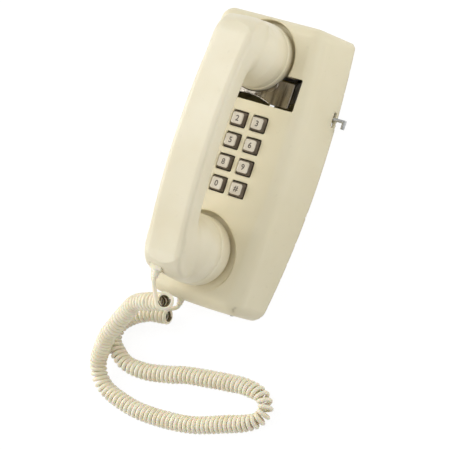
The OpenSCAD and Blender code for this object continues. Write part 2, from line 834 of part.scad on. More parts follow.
// ---- curly cord ----
// Points that the middle of the cord passes, from the handset's plug to the housing's.
rest_z = curl_d / 2 + 0.2;
cord_points = [
    [handset_jack_x, handset_cord_y, handset_jack_z],
    [handset_jack_x, handset_cord_y - 5, handset_jack_z],
    [0.5, -107.5, 78.4], [4.5, -111.5, 75], [4, -114, 69], [-4, -117.5, 62.5], [-16, -120.5, 57],
    [-30, -125, 50],
    [-45, -134, 41], [-56, -144, 32], [-65, -156, 23], [-70, -168, 15], [-71, -178, 9],
    [-67, -187.5, rest_z], [-58, -195, rest_z], [-43, -201, rest_z], [-24, -203, rest_z],
    [0, -202, rest_z], [24, -198, rest_z], [50, -189.5, rest_z], [66, -183, rest_z],
    [75.5, -175, rest_z], [76.5, -166.5, rest_z], [70.5, -160, rest_z], [56, -157.5, rest_z],
    [40, -159, rest_z], [23, -162, rest_z], [6, -165, rest_z], [-11, -170, rest_z],
    [-29, -173, rest_z], [-46, -171.5, rest_z], [-57, -166, rest_z], [-62.5, -157, rest_z],
    [-61.5, -147, 7], [-54, -138, 8], [-42, -131, 9], [-30, -127.5, 11], [-21, -125, 13],
    [jack_x, base_cord_y - 5, jack_z], [jack_x, base_cord_y, jack_z]];
turn_point = 21;
rings_per_curl = 8;
cord_sides = 6;
path_steps = 5;

// Smooth curve through four neighbouring points, at t from 0 to 1 between b and c.
function blend_at(a, b, c, d, t) =
    0.5 * (2 * b + (c - a) * t + (2 * a - 5 * b + 4 * c - d) * t * t
           + (3 * b - a - 3 * c + d) * t * t * t);

function unit(v) = v / norm(v);
function clamp01(t) = min(1, max(0, t));
function ease(t) = let (c = clamp01(t)) c * c * (3 - 2 * c);

// Running total of a list of lengths.
function running(list) =
    [for (i = 0, total = 0; i <= len(list); total = total + (i < len(list) ? list[i] : 0), i = i + 1)
        total];

// Frames carried along a curve without twist: each is [tangent, side].
function carried(tangents) =
    [for (i = 0, side = unit(cross(tangents[0], [0, 0, 1])); i < len(tangents);
          i = i + 1,
          side = i < len(tangents)
              ? unit(side - (side * tangents[i]) * tangents[i]) : side)
        side];

// Position of a running length in a growing list, as index plus fraction.
function seek(list, value, low, high) =
    high - low <= 1 ? low + clamp01((value - list[low]) / (list[high] - list[low]))
    : let (mid = floor((low + high) / 2))
      value < list[mid] ? seek(list, value, low, mid) : seek(list, value, mid, high);

function mix_at(list, place) =
    let (i = min(floor(place), len(list) - 2), t = place - i) list[i] * (1 - t) + list[i + 1] * t;

module curly_cord() {
    last = len(cord_points) - 1;
    fine = [for (i = [0:last - 1], k = [0:path_steps - 1])
                blend_at(cord_points[max(i - 1, 0)], cord_points[i], cord_points[i + 1],
                         cord_points[min(i + 2, last)], k / path_steps)];
    path = concat(fine, [cord_points[last]]);
    n = len(path) - 1;
    along = running([for (i = [0:n - 1]) norm(path[i + 1] - path[i])]);
    total = along[n];
    tangents = [for (i = [0:n]) i == 0 ? [0, -1, 0] : i == n ? [0, 1, 0]
                                : unit(path[i + 1] - path[i - 1])];
    sides = carried(tangents);

    // Curl spacing opens where the loop turns back.
    turn_s = along[turn_point * path_steps];
    density = [for (i = [0:n])
                   1 / (1 + turn_stretch * ease(1 - abs(along[i] - turn_s) / 60))
                   * ease((along[i] - handset_tail) / curl_ease)
                   * ease((total - base_tail - along[i]) / curl_ease)];
    phase_sum = running([for (i = [0:n - 1])
                             (density[i] + density[i + 1]) / 2 * (along[i + 1] - along[i])]);
    helix_r = (curl_d - cord_d) / 2;

    ring_count = curls * rings_per_curl;
    helix = [for (k = [0:ring_count])
                 let (place = seek(phase_sum, phase_sum[n] * k / ring_count, 0, n),
                      s = mix_at(along, place),
                      t = unit(mix_at(tangents, place)),
                      a = unit(mix_at(sides, place)),
                      b = cross(t, a),
                      turn = -360 * k / rings_per_curl)
                 mix_at(path, place) + helix_r * (cos(turn) * a + sin(turn) * b)];
    // Each tail runs from its plug out to the rim of the nearest curl.
    lead = [for (i = [0:n]) if (along[i] < handset_tail - 1)
                path[i] + helix_r * ease((along[i] - boot_l) / (handset_tail - boot_l)) * sides[i]];
    trail = [for (i = [0:n]) if (along[i] > total - base_tail + 1)
                 path[i] + helix_r * ease((total - along[i]) / base_tail) * sides[i]];
    centre = concat(lead, helix, trail);
    m = len(centre) - 1;

    far_apart = ceil(0.7 * rings_per_curl);
    spans = [for (i = [0:m], j = [i + far_apart:m]) if (abs(centre[i][0] - centre[j][0]) < 8)
                 norm(centre[i] - centre[j])];
    echo(cord_length = norm_sum(centre), path_length = total, least_gap = min(spans) - cord_d);

    ring_t = [for (i = [0:m]) i == 0 ? [0, -1, 0] : i == m ? [0, 1, 0]
                              : unit(centre[i + 1] - centre[i - 1])];
    ring_side = carried(ring_t);
    points = [for (i = [0:m], k = [0:cord_sides - 1])
                  let (b = cross(ring_t[i], ring_side[i]), turn = 360 * k / cord_sides)
                  centre[i] + cord_d / 2 * (cos(turn) * ring_side[i] + sin(turn) * b)];
    walls = [for (i = [0:m - 1], k = [0:cord_sides - 1])
                 let (a = i * cord_sides + k, b = i * cord_sides + (k + 1) % cord_sides)
                 each [[a, a + cord_sides, b], [b, a + cord_sides, b + cord_sides]]];
    start = [for (k = [1:cord_sides - 2]) [0, k, k + 1]];
    finish = [for (k = [1:cord_sides - 2])
                  [m * cord_sides, m * cord_sides + k + 1, m * cord_sides + k]];
    color(IVORY) polyhedron(points = points, faces = concat(walls, start, finish), convexity = 20);
}

function norm_sum(points) =
    let (pieces = [for (i = [0:len(points) - 2]) norm(points[i + 1] - points[i])])
    pieces * [for (p = pieces) 1];

base_plate();
housing_cover();
cover_screws();
keypad_frame();
keypad_board();
contact_mat();
keypad_screws();
key(-1, 1.5);  // key_1
key(0, 1.5);  // key_2
key(1, 1.5);  // key_3
key(-1, 0.5);  // key_4
key(0, 0.5);  // key_5
key(1, 0.5);  // key_6
key(-1, -0.5);  // key_7
key(0, -0.5);  // key_8
key(1, -0.5);  // key_9
key(-1, -1.5);  // key_star
key(0, -1.5);  // key_0
key(1, -1.5);  // key_hash
network_board();
board_standoffs();
line_transformer();
network_capacitors();
wall_plug();
cord_jack();
hook_bracket();
hook_pin();
hook_switch();
hook_saddle();
ringer_frame();
ringer_coils();
gong_left();
gong_right();
gong_screws();
clapper();
lever_rivet();
loudness_lever();
handset_shell();
ear_cap();
mouth_cap();
receiver_capsule();
transmitter_capsule();
transmitter_cup();
handset_jack();
handset_plug();
base_plug();
curly_cord();
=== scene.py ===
import math

import bmesh
import bpy
import numpy as np
from mathutils import Matrix, Vector


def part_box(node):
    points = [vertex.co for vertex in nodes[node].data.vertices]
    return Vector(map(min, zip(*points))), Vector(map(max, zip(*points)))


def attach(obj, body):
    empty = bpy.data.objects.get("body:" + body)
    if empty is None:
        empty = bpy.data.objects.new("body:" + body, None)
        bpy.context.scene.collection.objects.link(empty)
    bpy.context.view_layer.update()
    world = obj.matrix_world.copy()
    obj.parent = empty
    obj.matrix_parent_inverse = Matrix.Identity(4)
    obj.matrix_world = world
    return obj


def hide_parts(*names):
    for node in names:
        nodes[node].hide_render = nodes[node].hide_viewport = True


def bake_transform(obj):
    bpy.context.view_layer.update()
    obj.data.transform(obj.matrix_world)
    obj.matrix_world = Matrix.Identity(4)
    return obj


# Wall telephone: ivory housing with push keys, arched handset, chromed hook and curly cord.
# The shapes below are in millimetres and are turned to metres as each mesh is made.

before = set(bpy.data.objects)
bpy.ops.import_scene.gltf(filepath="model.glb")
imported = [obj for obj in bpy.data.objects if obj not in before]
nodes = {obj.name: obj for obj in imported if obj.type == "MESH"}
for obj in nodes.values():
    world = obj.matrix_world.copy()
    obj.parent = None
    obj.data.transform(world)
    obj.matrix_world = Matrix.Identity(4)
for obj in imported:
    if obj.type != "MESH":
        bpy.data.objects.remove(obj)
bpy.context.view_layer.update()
print("frame loaded:", len(nodes), "nodes")


def newObject(name, data):
    thing = bpy.data.objects.new(name, data)
    bpy.context.scene.collection.objects.link(thing)
    return thing


# camera, made first; the cord's place was judged through this view

view = {
    "aim": (-5.6, -47.95, 3.2),  # point in the middle of the picture, mm
    "away": 1500,  # mm from that point
    "turn": 29.5,  # degrees round to the object's right
    "roll": 18,  # degrees
    "lens": 158.4, "film": 36,  # mm
}


def makeCamera():
    data = bpy.data.cameras.new("camera")
    data.lens, data.sensor_width = view["lens"], view["film"]
    camera = newObject("camera", data)
    aim, away = (Matrix.Translation(Vector(v) / 1000) for v in (view["aim"], (0, 0, view["away"])))
    turn = Matrix.Rotation(math.radians(view["turn"]), 4, "Y")
    roll = Matrix.Rotation(math.radians(view["roll"]), 4, "Z")
    camera.matrix_world = aim @ turn @ away @ roll
    bpy.context.scene.camera = camera


makeCamera()


# materials: small functions add nodes, and one function per kind of finish joins them

def linearColour(code):  # sRGB hex to the linear colour that sockets take
    parts = [int(code[i:i + 2], 16) / 255 for i in (1, 3, 5)]
    return [c / 12.92 if c <= 0.04045 else ((c + 0.055) / 1.055) ** 2.4 for c in parts] + [1]


def addNode(tree, kind, settings=None, links=None):
    node = tree.nodes.new(kind)
    for key, value in (settings or {}).items():
        if isinstance(key, int) or key in node.inputs:
            node.inputs[key].default_value = value
        else:
            setattr(node, key, value)
    for key, source in (links or {}).items():
        tree.links.new(source, node.inputs[key])
    return node


def emptyTree(owner):
    owner.use_nodes = True
    owner.node_tree.nodes.clear()
    return owner.node_tree


def noise(tree, place, size, detail, roughness=0.5):  # size in mm
    settings = {"Scale": 1000 / size, "Detail": detail, "Roughness": roughness}
    return addNode(tree, "ShaderNodeTexNoise", settings, {"Vector": place}).outputs[0]


def ranged(tree, source, low, high, toLow=0, toHigh=1):
    settings = {"From Min": low, "From Max": high, "To Min": toLow, "To Max": toHigh}
    return addNode(tree, "ShaderNodeMapRange", settings, {"Value": source}).outputs[0]


def mixed(tree, first, second, share, blend="MIX"):  # a colour is a hex code or an output
    mix = addNode(tree, "ShaderNodeMix", {"data_type": "RGBA", "blend_type": blend}, {"Factor": share})
    for socket, colour in zip([s for s in mix.inputs if s.type == "RGBA"], (first, second)):
        if isinstance(colour, str):
            socket.default_value = linearColour(colour)
        else:
            tree.links.new(colour, socket)
    return [s for s in mix.outputs if s.type == "RGBA"][0]


def bumped(tree, height, strength, depth):  # depth in mm
    settings = {"Strength": strength, "Distance": depth / 1000}
    return addNode(tree, "ShaderNodeBump", settings, {"Height": height}).outputs[0]


finishes = {}


def startFinish(name):
    finishes[name] = bpy.data.materials.new(name)
    tree = emptyTree(finishes[name])
    return tree, addNode(tree, "ShaderNodeTexCoord").outputs["Object"]


def endFinish(tree, settings, colour, gloss, bump):
    links = {"Base Color": colour, "Roughness": gloss, "Normal": bump}
    shader = addNode(tree, "ShaderNodeBsdfPrincipled", settings, links)
    addNode(tree, "ShaderNodeOutputMaterial", links={"Surface": shader.outputs[0]})


# moulded plastic: cloudy colour, fine surface grain, uneven gloss; cloud, grain, spot and depth are in mm
def plasticFinish(
        name, colour, shade, cloud, grain, rough,
        spot=5, dirt=0.12, soil="#8A7A5C", depth=0.02, under=0, ior=1.53, clear=0, alpha=1):
    tree, place = startFinish(name)
    clouds, fine = noise(tree, place, cloud, 3, 0.55), noise(tree, place, grain, 2, 0.6)
    spots = noise(tree, place, spot, 4, 0.7)
    clean = mixed(tree, colour, shade, ranged(tree, clouds, 0.35, 0.7))
    soiled = mixed(tree, clean, soil, ranged(tree, spots, 0.62, 0.8, 0, dirt), "MULTIPLY")
    gloss = ranged(tree, spots, 0.3, 0.7, rough - 0.06, rough + 0.08)
    endFinish(tree, {
        "IOR": ior, "Transmission Weight": clear, "Alpha": alpha,
        "Subsurface Weight": under, "Subsurface Radius": (1, 0.7, 0.4), "Subsurface Scale": 0.001,
    }, soiled, gloss, bumped(tree, fine, 0.25, depth))


# metal: rolled or brushed lines along one axis, its colour varied in patches, or in streaks of painted
# reflection; cloud and grain are in mm
def metalFinish(name, colour, shade, cloud, grain, rough, lines=(1, 1, 1), bump=0.1, streaked=False):
    tree, place = startFinish(name)
    stretched = addNode(tree, "ShaderNodeMapping", {"Scale": lines}, {"Vector": place}).outputs[0]
    brushed = noise(tree, stretched, grain, 3)
    # tone in patches; on the chrome, streaks that are painted reflections
    toneAndReflection = noise(tree, stretched if streaked else place, cloud, 4)
    tint = mixed(tree, colour, shade, ranged(tree, toneAndReflection, 0.4, 0.75))
    gloss = ranged(tree, brushed, 0.3, 0.7, rough * 0.7, rough * 1.4)
    endFinish(tree, {"Metallic": 1}, tint, gloss, bumped(tree, brushed, bump, 0.01))


# ABS, injection moulded in a fine-etched tool: even satin with a soft highlight, yellowed unevenly by age
plasticFinish("ivoryAbs", "#EEE5C7", "#E8DEBD", 60, 0.9, 0.42, depth=0.03, under=0.08)
# ABS of the handset, polished by hands: a little glossier and cleaner than the housing
plasticFinish("handsetAbs", "#F0E8CE", "#EAE0C2", 45, 0.9, 0.34, under=0.08)
# soft PVC, extruded round its wires: waxy, slightly glossy, greyed where hands and floor touch it
plasticFinish("cordPvc", "#F8F0DA", "#F0E7CC", 14, 0.6, 0.36, spot=7, dirt=0.15, under=0.5)
# painted shade: the same PVC, darkened on the inner side of the curls where the coil shades itself
plasticFinish("cordShadedInside", "#6E6142", "#5C5036", 14, 0.6, 0.6)
# ABS key cap, moulded in two shots: pale warm grey, matt from use
plasticFinish("keyAbs", "#E0D8C8", "#D2C8B6", 9, 0.5, 0.36, spot=2.5, dirt=0.25, depth=0.01)
# painted shade: sides of the key caps, darkened brown as the shade that falls between the keys
plasticFinish("keySideShade", "#75685A", "#574C3E", 6, 0.5, 0.55)
# the second shot of the key caps: dark grey digits
plasticFinish("digitAbs", "#625A4F", "#544D44", 5, 0.5, 0.5, dirt=0)
# phenolic and black ABS inside: dull dark brown-black; on the keys' feet the same finish is painted shade
plasticFinish("darkAbsAndShade", "#5B5443", "#484235", 12, 0.7, 0.5, soil="#6E675C")
# polycarbonate of the cord plugs, clear and lightly scratched
plasticFinish(
    "clearPolycarbonate", "#EDEFEA", "#E3E6DD", 6, 0.8, 0.16, dirt=0.05, ior=1.585, clear=0.55, alpha=0.8)
# silicone rubber mat, pressed: pale grey, quite dull
plasticFinish("matRubber", "#B4B3A8", "#A3A297", 15, 0.6, 0.7)
# phenolic paper board, punched: brown with lighter fibres
plasticFinish("boardPhenolic", "#8C6B3C", "#A07C49", 4, 0.4, 0.45, spot=2)
# film capacitors dipped in yellow epoxy
plasticFinish("dippedEpoxy", "#C9B072", "#BDA365", 6, 1.5, 0.25, depth=0.06)
# enamelled copper wire, wound: shiny red-brown with the wires' lines
metalFinish("enamelledCopper", "#A9582F", "#8C4426", 8, 0.35, 0.3, (0.05, 1, 0.05), bump=0.4)
# zinc-plated sheet steel: grey with a faint yellow-blue bloom, satin
metalFinish("zincSteel", "#B9BABA", "#A6A59E", 9, 0.5, 0.34, (0.1, 1, 1))
# steel sheet, zinc plated and yellow chromated: olive gold, satin
metalFinish("chromatedSteel", "#BCAE7E", "#A39767", 14, 0.6, 0.5, (0.1, 1, 1))
# steel punching, chrome plated over nickel: streaked light and dark along its length, as painted reflections
metalFinish("chromePlate", "#9C958A", "#3D362D", 3.2, 0.8, 0.2, (1, 0.12, 1), streaked=True)
# spun brass gongs, lacquered
metalFinish("spunBrass", "#C6A767", "#A98A4C", 12, 0.5, 0.24)
# gold flash on the plug's contacts
metalFinish("goldContact", "#D9B25A", "#C79F49", 3, 0.3, 0.2)


# meshes from a distance function: points snap to the exact surface, and its slope gives the shading

def roundMax(a, b, r):  # overlap of two shapes, its edge rounded by r
    return np.minimum(-r, np.maximum(a, b)) + np.hypot(np.maximum(a + r, 0), np.maximum(b + r, 0))


def roundMin(a, b, r):  # union of two shapes, its crease filled by r
    return -roundMax(-a, -b, r)


def roundedBox(x, y, w, h, r):  # flat rounded rectangle, centred
    u, v = np.abs(x) - w / 2 + r, np.abs(y) - h / 2 + r
    return np.hypot(np.maximum(u, 0), np.maximum(v, 0)) + np.minimum(np.maximum(u, v), 0) - r


def gradedAxis(low, high, coarse, spots=()):  # marks in mm, closer within the spots, each (from, to, step)
    marks = [low]
    while marks[-1] < high:
        here = marks[-1]
        marks.append(here + min([step for a, b, step in spots if a <= here + 0.01 < b] + [coarse]))
    return np.array(marks)


def slope(distance, points, h=0.02):
    steps = np.eye(3) * h
    return np.stack([distance(*(points + s).T) - distance(*(points - s).T) for s in steps], 1) / (2 * h)


# a point in each cell that the surface crosses, and a face round each edge of the grid that it cuts;
# the grid reaches a little past the shape on every side
def surfaceNet(distance, axes):
    value = distance(*np.meshgrid(*axes, indexing="ij"))
    cells = np.array(value.shape) - 1
    total, count = np.zeros((*cells, 3)), np.zeros(cells)
    rings = []
    for axis in range(3):
        spot = np.argwhere(np.diff(value < 0, axis=axis))
        here, beyond = (value[tuple((spot + step).T)] for step in (0, np.eye(3, dtype=int)[axis]))
        point = np.stack([axes[k][spot[:, k]] for k in range(3)], 1)
        point[:, axis] += here / (here - beyond) * np.diff(axes[axis])[spot[:, axis]]
        beside = [np.roll((0, *cell), axis) for cell in ((-1, -1), (0, -1), (0, 0), (-1, 0))]
        ring = [tuple((spot + cell).T) for cell in beside]
        rings.append((ring, here < 0))
        for cell in ring:
            np.add.at(total, cell, point)
            np.add.at(count, cell, 1)
    used = count > 0
    number = np.cumsum(used).reshape(cells) - 1
    faces = []
    for ring, outward in rings:
        corners = np.stack([number[cell] for cell in ring], 1)
        corners[~outward] = corners[~outward][:, ::-1]
        faces.append(corners)
    return total[used] / count[used][:, None], np.concatenate(faces)


def pieceFrom(name, points, faces, finish, normals=None):  # points in mm
    mesh = bpy.data.meshes.new(name)
    mesh.from_pydata((np.asarray(points) / 1000).tolist(), [], [list(map(int, f)) for f in faces])
    mesh.polygons.foreach_set("use_smooth", [True] * len(mesh.polygons))
    if normals is not None:
        mesh.normals_split_custom_set_from_vertices(normals.tolist())
    mesh.materials.append(finishes[finish])
    return newObject(name, mesh)


def bands(rows, sides):  # faces between neighbouring rings of points, where a ring may be a single point
    faces = []
    for low, high in zip(rows, rows[1:]):
        for k in range(sides):
            n = (k + 1) % sides
            corners = [low[k % len(low)], low[n % len(low)], high[n % len(high)], high[k % len(high)]]
            faces.append(list(dict.fromkeys(corners)))
    return faces


def meshData(mesh):
    return np.array([v.co[:] for v in mesh.vertices]), [list(f.vertices) for f in mesh.polygons]


def pieceFromDistance(name, distance, axes, finish, sharpen=None):
    points, faces = surfaceNet(distance, axes)
    for turn in range(4):
        lean = slope(distance, points)
        size = np.maximum((lean ** 2).sum(1), 0.05)
        step = lean * (distance(*points.T) / size)[:, None]
        far = np.linalg.norm(step, axis=1)
        points -= step * np.minimum(1, 0.6 / np.maximum(far, 1e-6))[:, None]  # no step is over 0.6 mm
    if sharpen:
        sharpen(points)
    lean = slope(distance, points)
    normals = lean / np.maximum(np.linalg.norm(lean, axis=1), 1e-6)[:, None]
    print(name, len(faces), "faces")
    return pieceFrom(name, points, faces, finish, normals)


def finishPiece(piece, body, slotName, *replaced):
    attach(piece, body)
    if replaced:
        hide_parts(*replaced)
    return piece


def paintFaces(piece, kinds, extra):  # kinds: 0 on a face is the piece's first finish, then the extra ones
    for finish in extra:
        piece.data.materials.append(finishes[finish])
    piece.data.polygons.foreach_set("material_index", kinds)


# curly cord: one unbroken tube, wound along a smooth route

cord = {
    "thick": 3.3,
    "sides": 10,
    "curlWidth": 14,
    "gap": 0.5,  # between neighbouring curls on a straight stretch
    "perCurl": 22,  # rings of points
    "press": 1.2, "pressMost": 0.62,  # how far a bend presses the inner side of the curls in
    "liftedAbove": 78, "lyingBelow": 26,  # heights between which the curls stretch as the handset lifts
    "shadedCurls": 7,  # curls at each end whose inner side gets painted shade, where it shows in the open end
    "start": (-5, -100, 78.89),  # where it leaves the handset's plug
    "end": (-16, -116, 14),  # where it enters the housing's plug
    "startSide": (-0.83, -0.31, 0.47),  # side of the first curl where the straight tail meets it
    "endSide": (0.1, 0.4, 0.9),
    "tailBow": 13,
}
rest = cord["curlWidth"] / 2 + 0.2  # height of the coil's middle where it lies
lying = [
    (-57.5, -195.5), (-43, -200), (-24, -202.5), (0, -201.5), (24, -197.5), (49.5, -188.5), (64.5, -182.5),
    (73.5, -176), (76.2, -167.5), (70, -160), (56, -157.5), (40, -159), (23, -161.5), (6, -164.5),
    (-11, -169), (-29, -172.5), (-46, -172), (-57.5, -166.5), (-65, -157.5), (-64, -146.5)]
coilMiddle = [
    (4.6, -114, 72), (1.2, -114.3, 66), (-6.5, -116.3, 61), (-17, -119, 57), (-31, -124, 50),
    (-42.5, -134.5, 41), (-51.5, -145, 34), (-60.5, -156, 26), (-66.5, -167.5, 18), (-69.5, -178, 12),
    (-66.5, -188, 8.5), *((x, y, rest) for x, y in lying),
    (-55, -137, 8), (-42.5, -130.5, 9), (-32, -128, 10), (-23.5, -126.5, 11)]


def smoothRoute(points, steps):  # a Catmull-Rom curve through the points
    p = np.array(points, float)
    p = np.vstack([p[0], p, p[-1]])
    t = np.arange(steps)[:, None] / steps
    parts = []
    for a, b, c, d in zip(p, p[1:], p[2:], p[3:]):
        square, cube = 2 * a - 5 * b + 4 * c - d, 3 * b - a - 3 * c + d
        parts.append(0.5 * (2 * b + (c - a) * t + square * t ** 2 + cube * t ** 3))
    return np.vstack(parts + [p[-1:]])


def carriedSides(tangents, first):  # a sideways direction carried along without twist
    sides = [np.array(first, float)]
    for t in tangents:
        s = sides[-1] - sides[-1].dot(t) * t
        sides.append(s / np.linalg.norm(s))
    return np.array(sides[1:])


def unitRows(v):
    return v / np.linalg.norm(v, axis=1)[:, None]


def columns(change, rows):  # the same change made to x, y and z
    return np.stack([change(rows[:, k]) for k in range(3)], 1)


def turned(a, b, angle):  # the direction at an angle from a towards b
    return np.cos(angle)[..., None] * a + np.sin(angle)[..., None] * b


def bowedTail(start, leave, end, arrive, steps):  # a smooth line between two points, each with its direction
    t = np.linspace(0, 1, steps)[:, None]
    start, leave, end, arrive = (np.array(v, float) for v in (start, leave, end, arrive))
    return (start * (2 * t ** 3 - 3 * t ** 2 + 1) + leave * (t ** 3 - 2 * t ** 2 + t)
            + end * (3 * t ** 2 - 2 * t ** 3) + arrive * (t ** 3 - t ** 2))


def windCord():  # the cord's centre line, and at each of its points the way out from the coil's middle
    c = cord
    route = smoothRoute(coilMiddle, 24)
    along = np.concatenate([[0], np.cumsum(np.linalg.norm(np.diff(route, axis=0), axis=1))])
    marks = np.linspace(0, along[-1], 1200)
    route = columns(lambda row: np.interp(marks, along, row), route)
    tangents = unitRows(np.gradient(route, axis=0))
    turning = np.gradient(tangents, marks, axis=0)  # points to the inner side of a bend
    average = lambda row: np.convolve(np.pad(row, 12, mode="edge"), np.ones(25) / 25, mode="valid")
    turning = columns(average, turning)
    bend = np.linalg.norm(turning, axis=1)
    reach = (c["curlWidth"] - c["thick"]) / 2
    squeeze = np.clip(c["press"] * bend * reach, 0, c["pressMost"])
    gap = c["gap"] * np.clip(marks / 25, 0.3, 1)
    pitch = np.maximum(c["thick"] + gap, (c["thick"] + 0.08) / (1 - bend * reach * (1 - squeeze)))
    sides = carriedSides(tangents, c["startSide"])
    across = np.cross(tangents, sides)
    lastSide = np.array(c["endSide"])
    lastPart = -math.atan2(lastSide.dot(across[-1]), lastSide.dot(sides[-1])) / (2 * math.pi) % 1
    turns = np.concatenate([[0], np.cumsum(np.diff(marks) / pitch[1:])])
    curls = round(turns[-1] - lastPart) + lastPart
    turns *= curls / turns[-1]
    steps = np.linspace(0, curls, round(curls * c["perCurl"]) + 1)
    place, turn = np.interp(steps, turns, marks), -2 * math.pi * steps
    pick = lambda row: np.interp(place, marks, row)
    middle, a, b, inward = (columns(pick, v) for v in (route, sides, across, turning))
    inward = unitRows(inward + 1e-9)
    out = reach * unitRows(turned(a, b, turn))
    toward = (out * inward).sum(1)
    pressed = toward * np.interp(place, marks, squeeze) * (1 + toward / reach) / 2
    wire = middle + out - pressed[:, None] * inward
    bow, heading = c["tailBow"], unitRows(np.array([wire[1] - wire[0], wire[-1] - wire[-2]]))
    lead = bowedTail(c["start"], (0, -bow, 0), wire[0], heading[0] * bow, 16)
    trail = bowedTail(wire[-1], heading[1] * bow, c["end"], (0, bow, 0), 12)
    print("cord:", round(curls, 2), "curls")
    outward = np.vstack([np.zeros((len(lead) - 1, 3)), out / reach, np.zeros((len(trail) - 1, 3))])
    return np.vstack([lead[:-1], wire, trail[1:]]), outward


def tubeAlong(centre, radius, sides):
    tangents = unitRows(np.gradient(centre, axis=0))
    tangents[0] = unitRows(np.diff(centre[:2], axis=0))[0]
    tangents[-1] = unitRows(np.diff(centre[-2:], axis=0))[0]
    a = carriedSides(tangents, np.cross(tangents[0], (0.3, 0.2, 1)))
    b = np.cross(tangents, a)
    angle = np.arange(sides) * 2 * math.pi / sides
    points = (centre[:, None] + radius * turned(a[:, None], b[:, None], angle)).reshape(-1, 3)
    rows = np.arange(len(points)).reshape(-1, sides).tolist()
    return points, bands(rows, sides) + [rows[0][::-1], rows[-1]]


def makeCord():
    c = cord
    centre, outward = windCord()
    length = np.linalg.norm(np.diff(centre, axis=0), axis=1).sum()
    points, faces = tubeAlong(centre, c["thick"] / 2, c["sides"])
    piece = pieceFrom("curly_cord_visual", points, faces, "cordPvc")
    rings = points.reshape(len(centre), -1, 3) - centre[:, None]
    facing = ((rings + np.roll(rings, -1, 1)) / c["thick"] * outward[:, None]).sum(2)
    number = np.arange(len(centre))
    near = np.minimum(number, len(centre) - number) < c["shadedCurls"] * c["perCurl"]
    # painted shade: faces on the inner side of the curls near each end take the dark inside finish
    shadedInside = ((facing < -0.5) & near[:, None])[:-1].ravel().tolist()
    paintFaces(piece, shadedInside + [False, False], ["cordShadedInside"])  # the last two faces close the ends
    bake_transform(piece)
    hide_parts("curly_cord")
    print("cord length", round(length / 1000, 3), "m")
    return piece, centre, length


cordPiece, cordCentre, cordLength = makeCord()


# housing cover: one moulded shell, from the same sizes as the solid

housing = {
    "topY": 110, "halfW": 57.3, "topHalf": 51.6, "bottomHalf": 47, "widestY": 10,
    "faceZ": 42, "footZ": 31.5, "slopeY": -46, "slopeLean": 0.982,
    "slopeTurn": 8,  # length over which the face turns to the slope
    "foot": 2, "draft": 15.3, "edge": 9,  # the wall is upright up to the foot's height and leans in above it
    "cornerTop": 4, "cornerBottom": 9, "wall": 2.8,
    "sag": 1.2, "sagHalf": 39.53,  # the lower end bows out in its middle, over this half width
    "earY": 78.7, "recessR": 28.5, "recessZ": 30.6,
    "mouthY": -71.7, "hollowR": 30, "hollowZ": 32, "floorRound": 1.6,
    "pitchX": 17.2, "pitchY": 16.8, "keysY": 4.9, "windowW": 13.2, "windowH": 12.2,
    "hookW": 81.2, "hookLow": 45.2, "hookHigh": 69.9,
    "recessRim": 2, "hollowRim": 1.4, "lip": 0.45, "fineLip": 0.3,  # rounding of the openings' edges
    "lever": (51, 4.2, 11, 3.4, 0.8),  # slot in the right wall: middle y, z, width, height, rounding
    "jack": (-16, 14, 10.2, 8.2, 0.4),  # hole in the lower end: middle x, z, width, height, rounding
    "screwX": 27.5, "screwZ": 8, "screwR": 1.6,
    "cutY": -100, "cutX": 40, "keysCutZ": 30, "hookCutZ": 24.5,  # how far in the openings are cut
}


def sideAt(y):
    h = housing
    up = y > h["widestY"]
    end = np.where(up, h["topHalf"], h["bottomHalf"])
    reach = np.where(up, h["topY"] - h["widestY"], h["topY"] + h["widestY"])
    return h["halfW"] - (h["halfW"] - end) * ((y - h["widestY"]) / reach) ** 2


def frontAt(y):
    h = housing
    turn = h["slopeTurn"]
    bend = h["slopeY"] + turn / 2 - y
    soft = np.where(bend <= 0, 0, np.where(bend < turn, bend ** 2 / (2 * turn), bend - turn / 2))
    return h["faceZ"] - (h["faceZ"] - h["footZ"]) * soft / (h["slopeY"] + h["topY"] - h["edge"])


def housingSkin(x, y, z):
    h = housing
    front = frontAt(y)
    # side wall: a line from the back edge that just touches the rounded front edge
    w, r = sideAt(y), h["edge"]
    dx, dz = -h["draft"], front - r - h["foot"]
    far = np.hypot(dx, dz)
    tilt = np.arctan2(dz, dx) - np.arcsin(np.clip(r / far, -1, 1))
    leaning = (np.abs(x) - w) * np.sin(tilt) - (z - h["foot"]) * np.cos(tilt)
    side = np.maximum(np.where(z < h["foot"], np.abs(x) - w, leaning), leaning)
    bow = h["sag"] * ((x / h["sagHalf"]) ** 2 - 1)
    end = np.where(y > 0, y - h["topY"], -y - h["topY"] + bow)
    grow = np.clip((z - h["foot"]) / (h["faceZ"] - h["edge"] - h["foot"]), 0, 1)
    corner = np.where(y > 0, h["cornerTop"] + (h["edge"] - h["cornerTop"]) * grow, h["cornerBottom"])
    outline = roundMax(side, end, corner)
    face = (z - front) * np.where(y < h["slopeY"], h["slopeLean"], 1)
    skin = roundMax(outline, face, r)
    hollow = roundMax(np.hypot(x, y - h["mouthY"]) - h["hollowR"], h["hollowZ"] - z, h["floorRound"])
    recess = roundMax(np.hypot(x, y - h["earY"]) - h["recessR"], h["recessZ"] - z, h["floorRound"])
    return roundMax(roundMax(skin, -hollow, h["hollowRim"]), -recess, h["recessRim"])


def keyWindows(x, y):
    h = housing
    kx = np.clip(np.round(x / h["pitchX"]), -1, 1) * h["pitchX"]
    row = np.clip(np.round((y - h["keysY"]) / h["pitchY"] - 0.5), -2, 1) + 0.5
    return roundedBox(x - kx, y - h["keysY"] - row * h["pitchY"], h["windowW"], h["windowH"], 0.9)


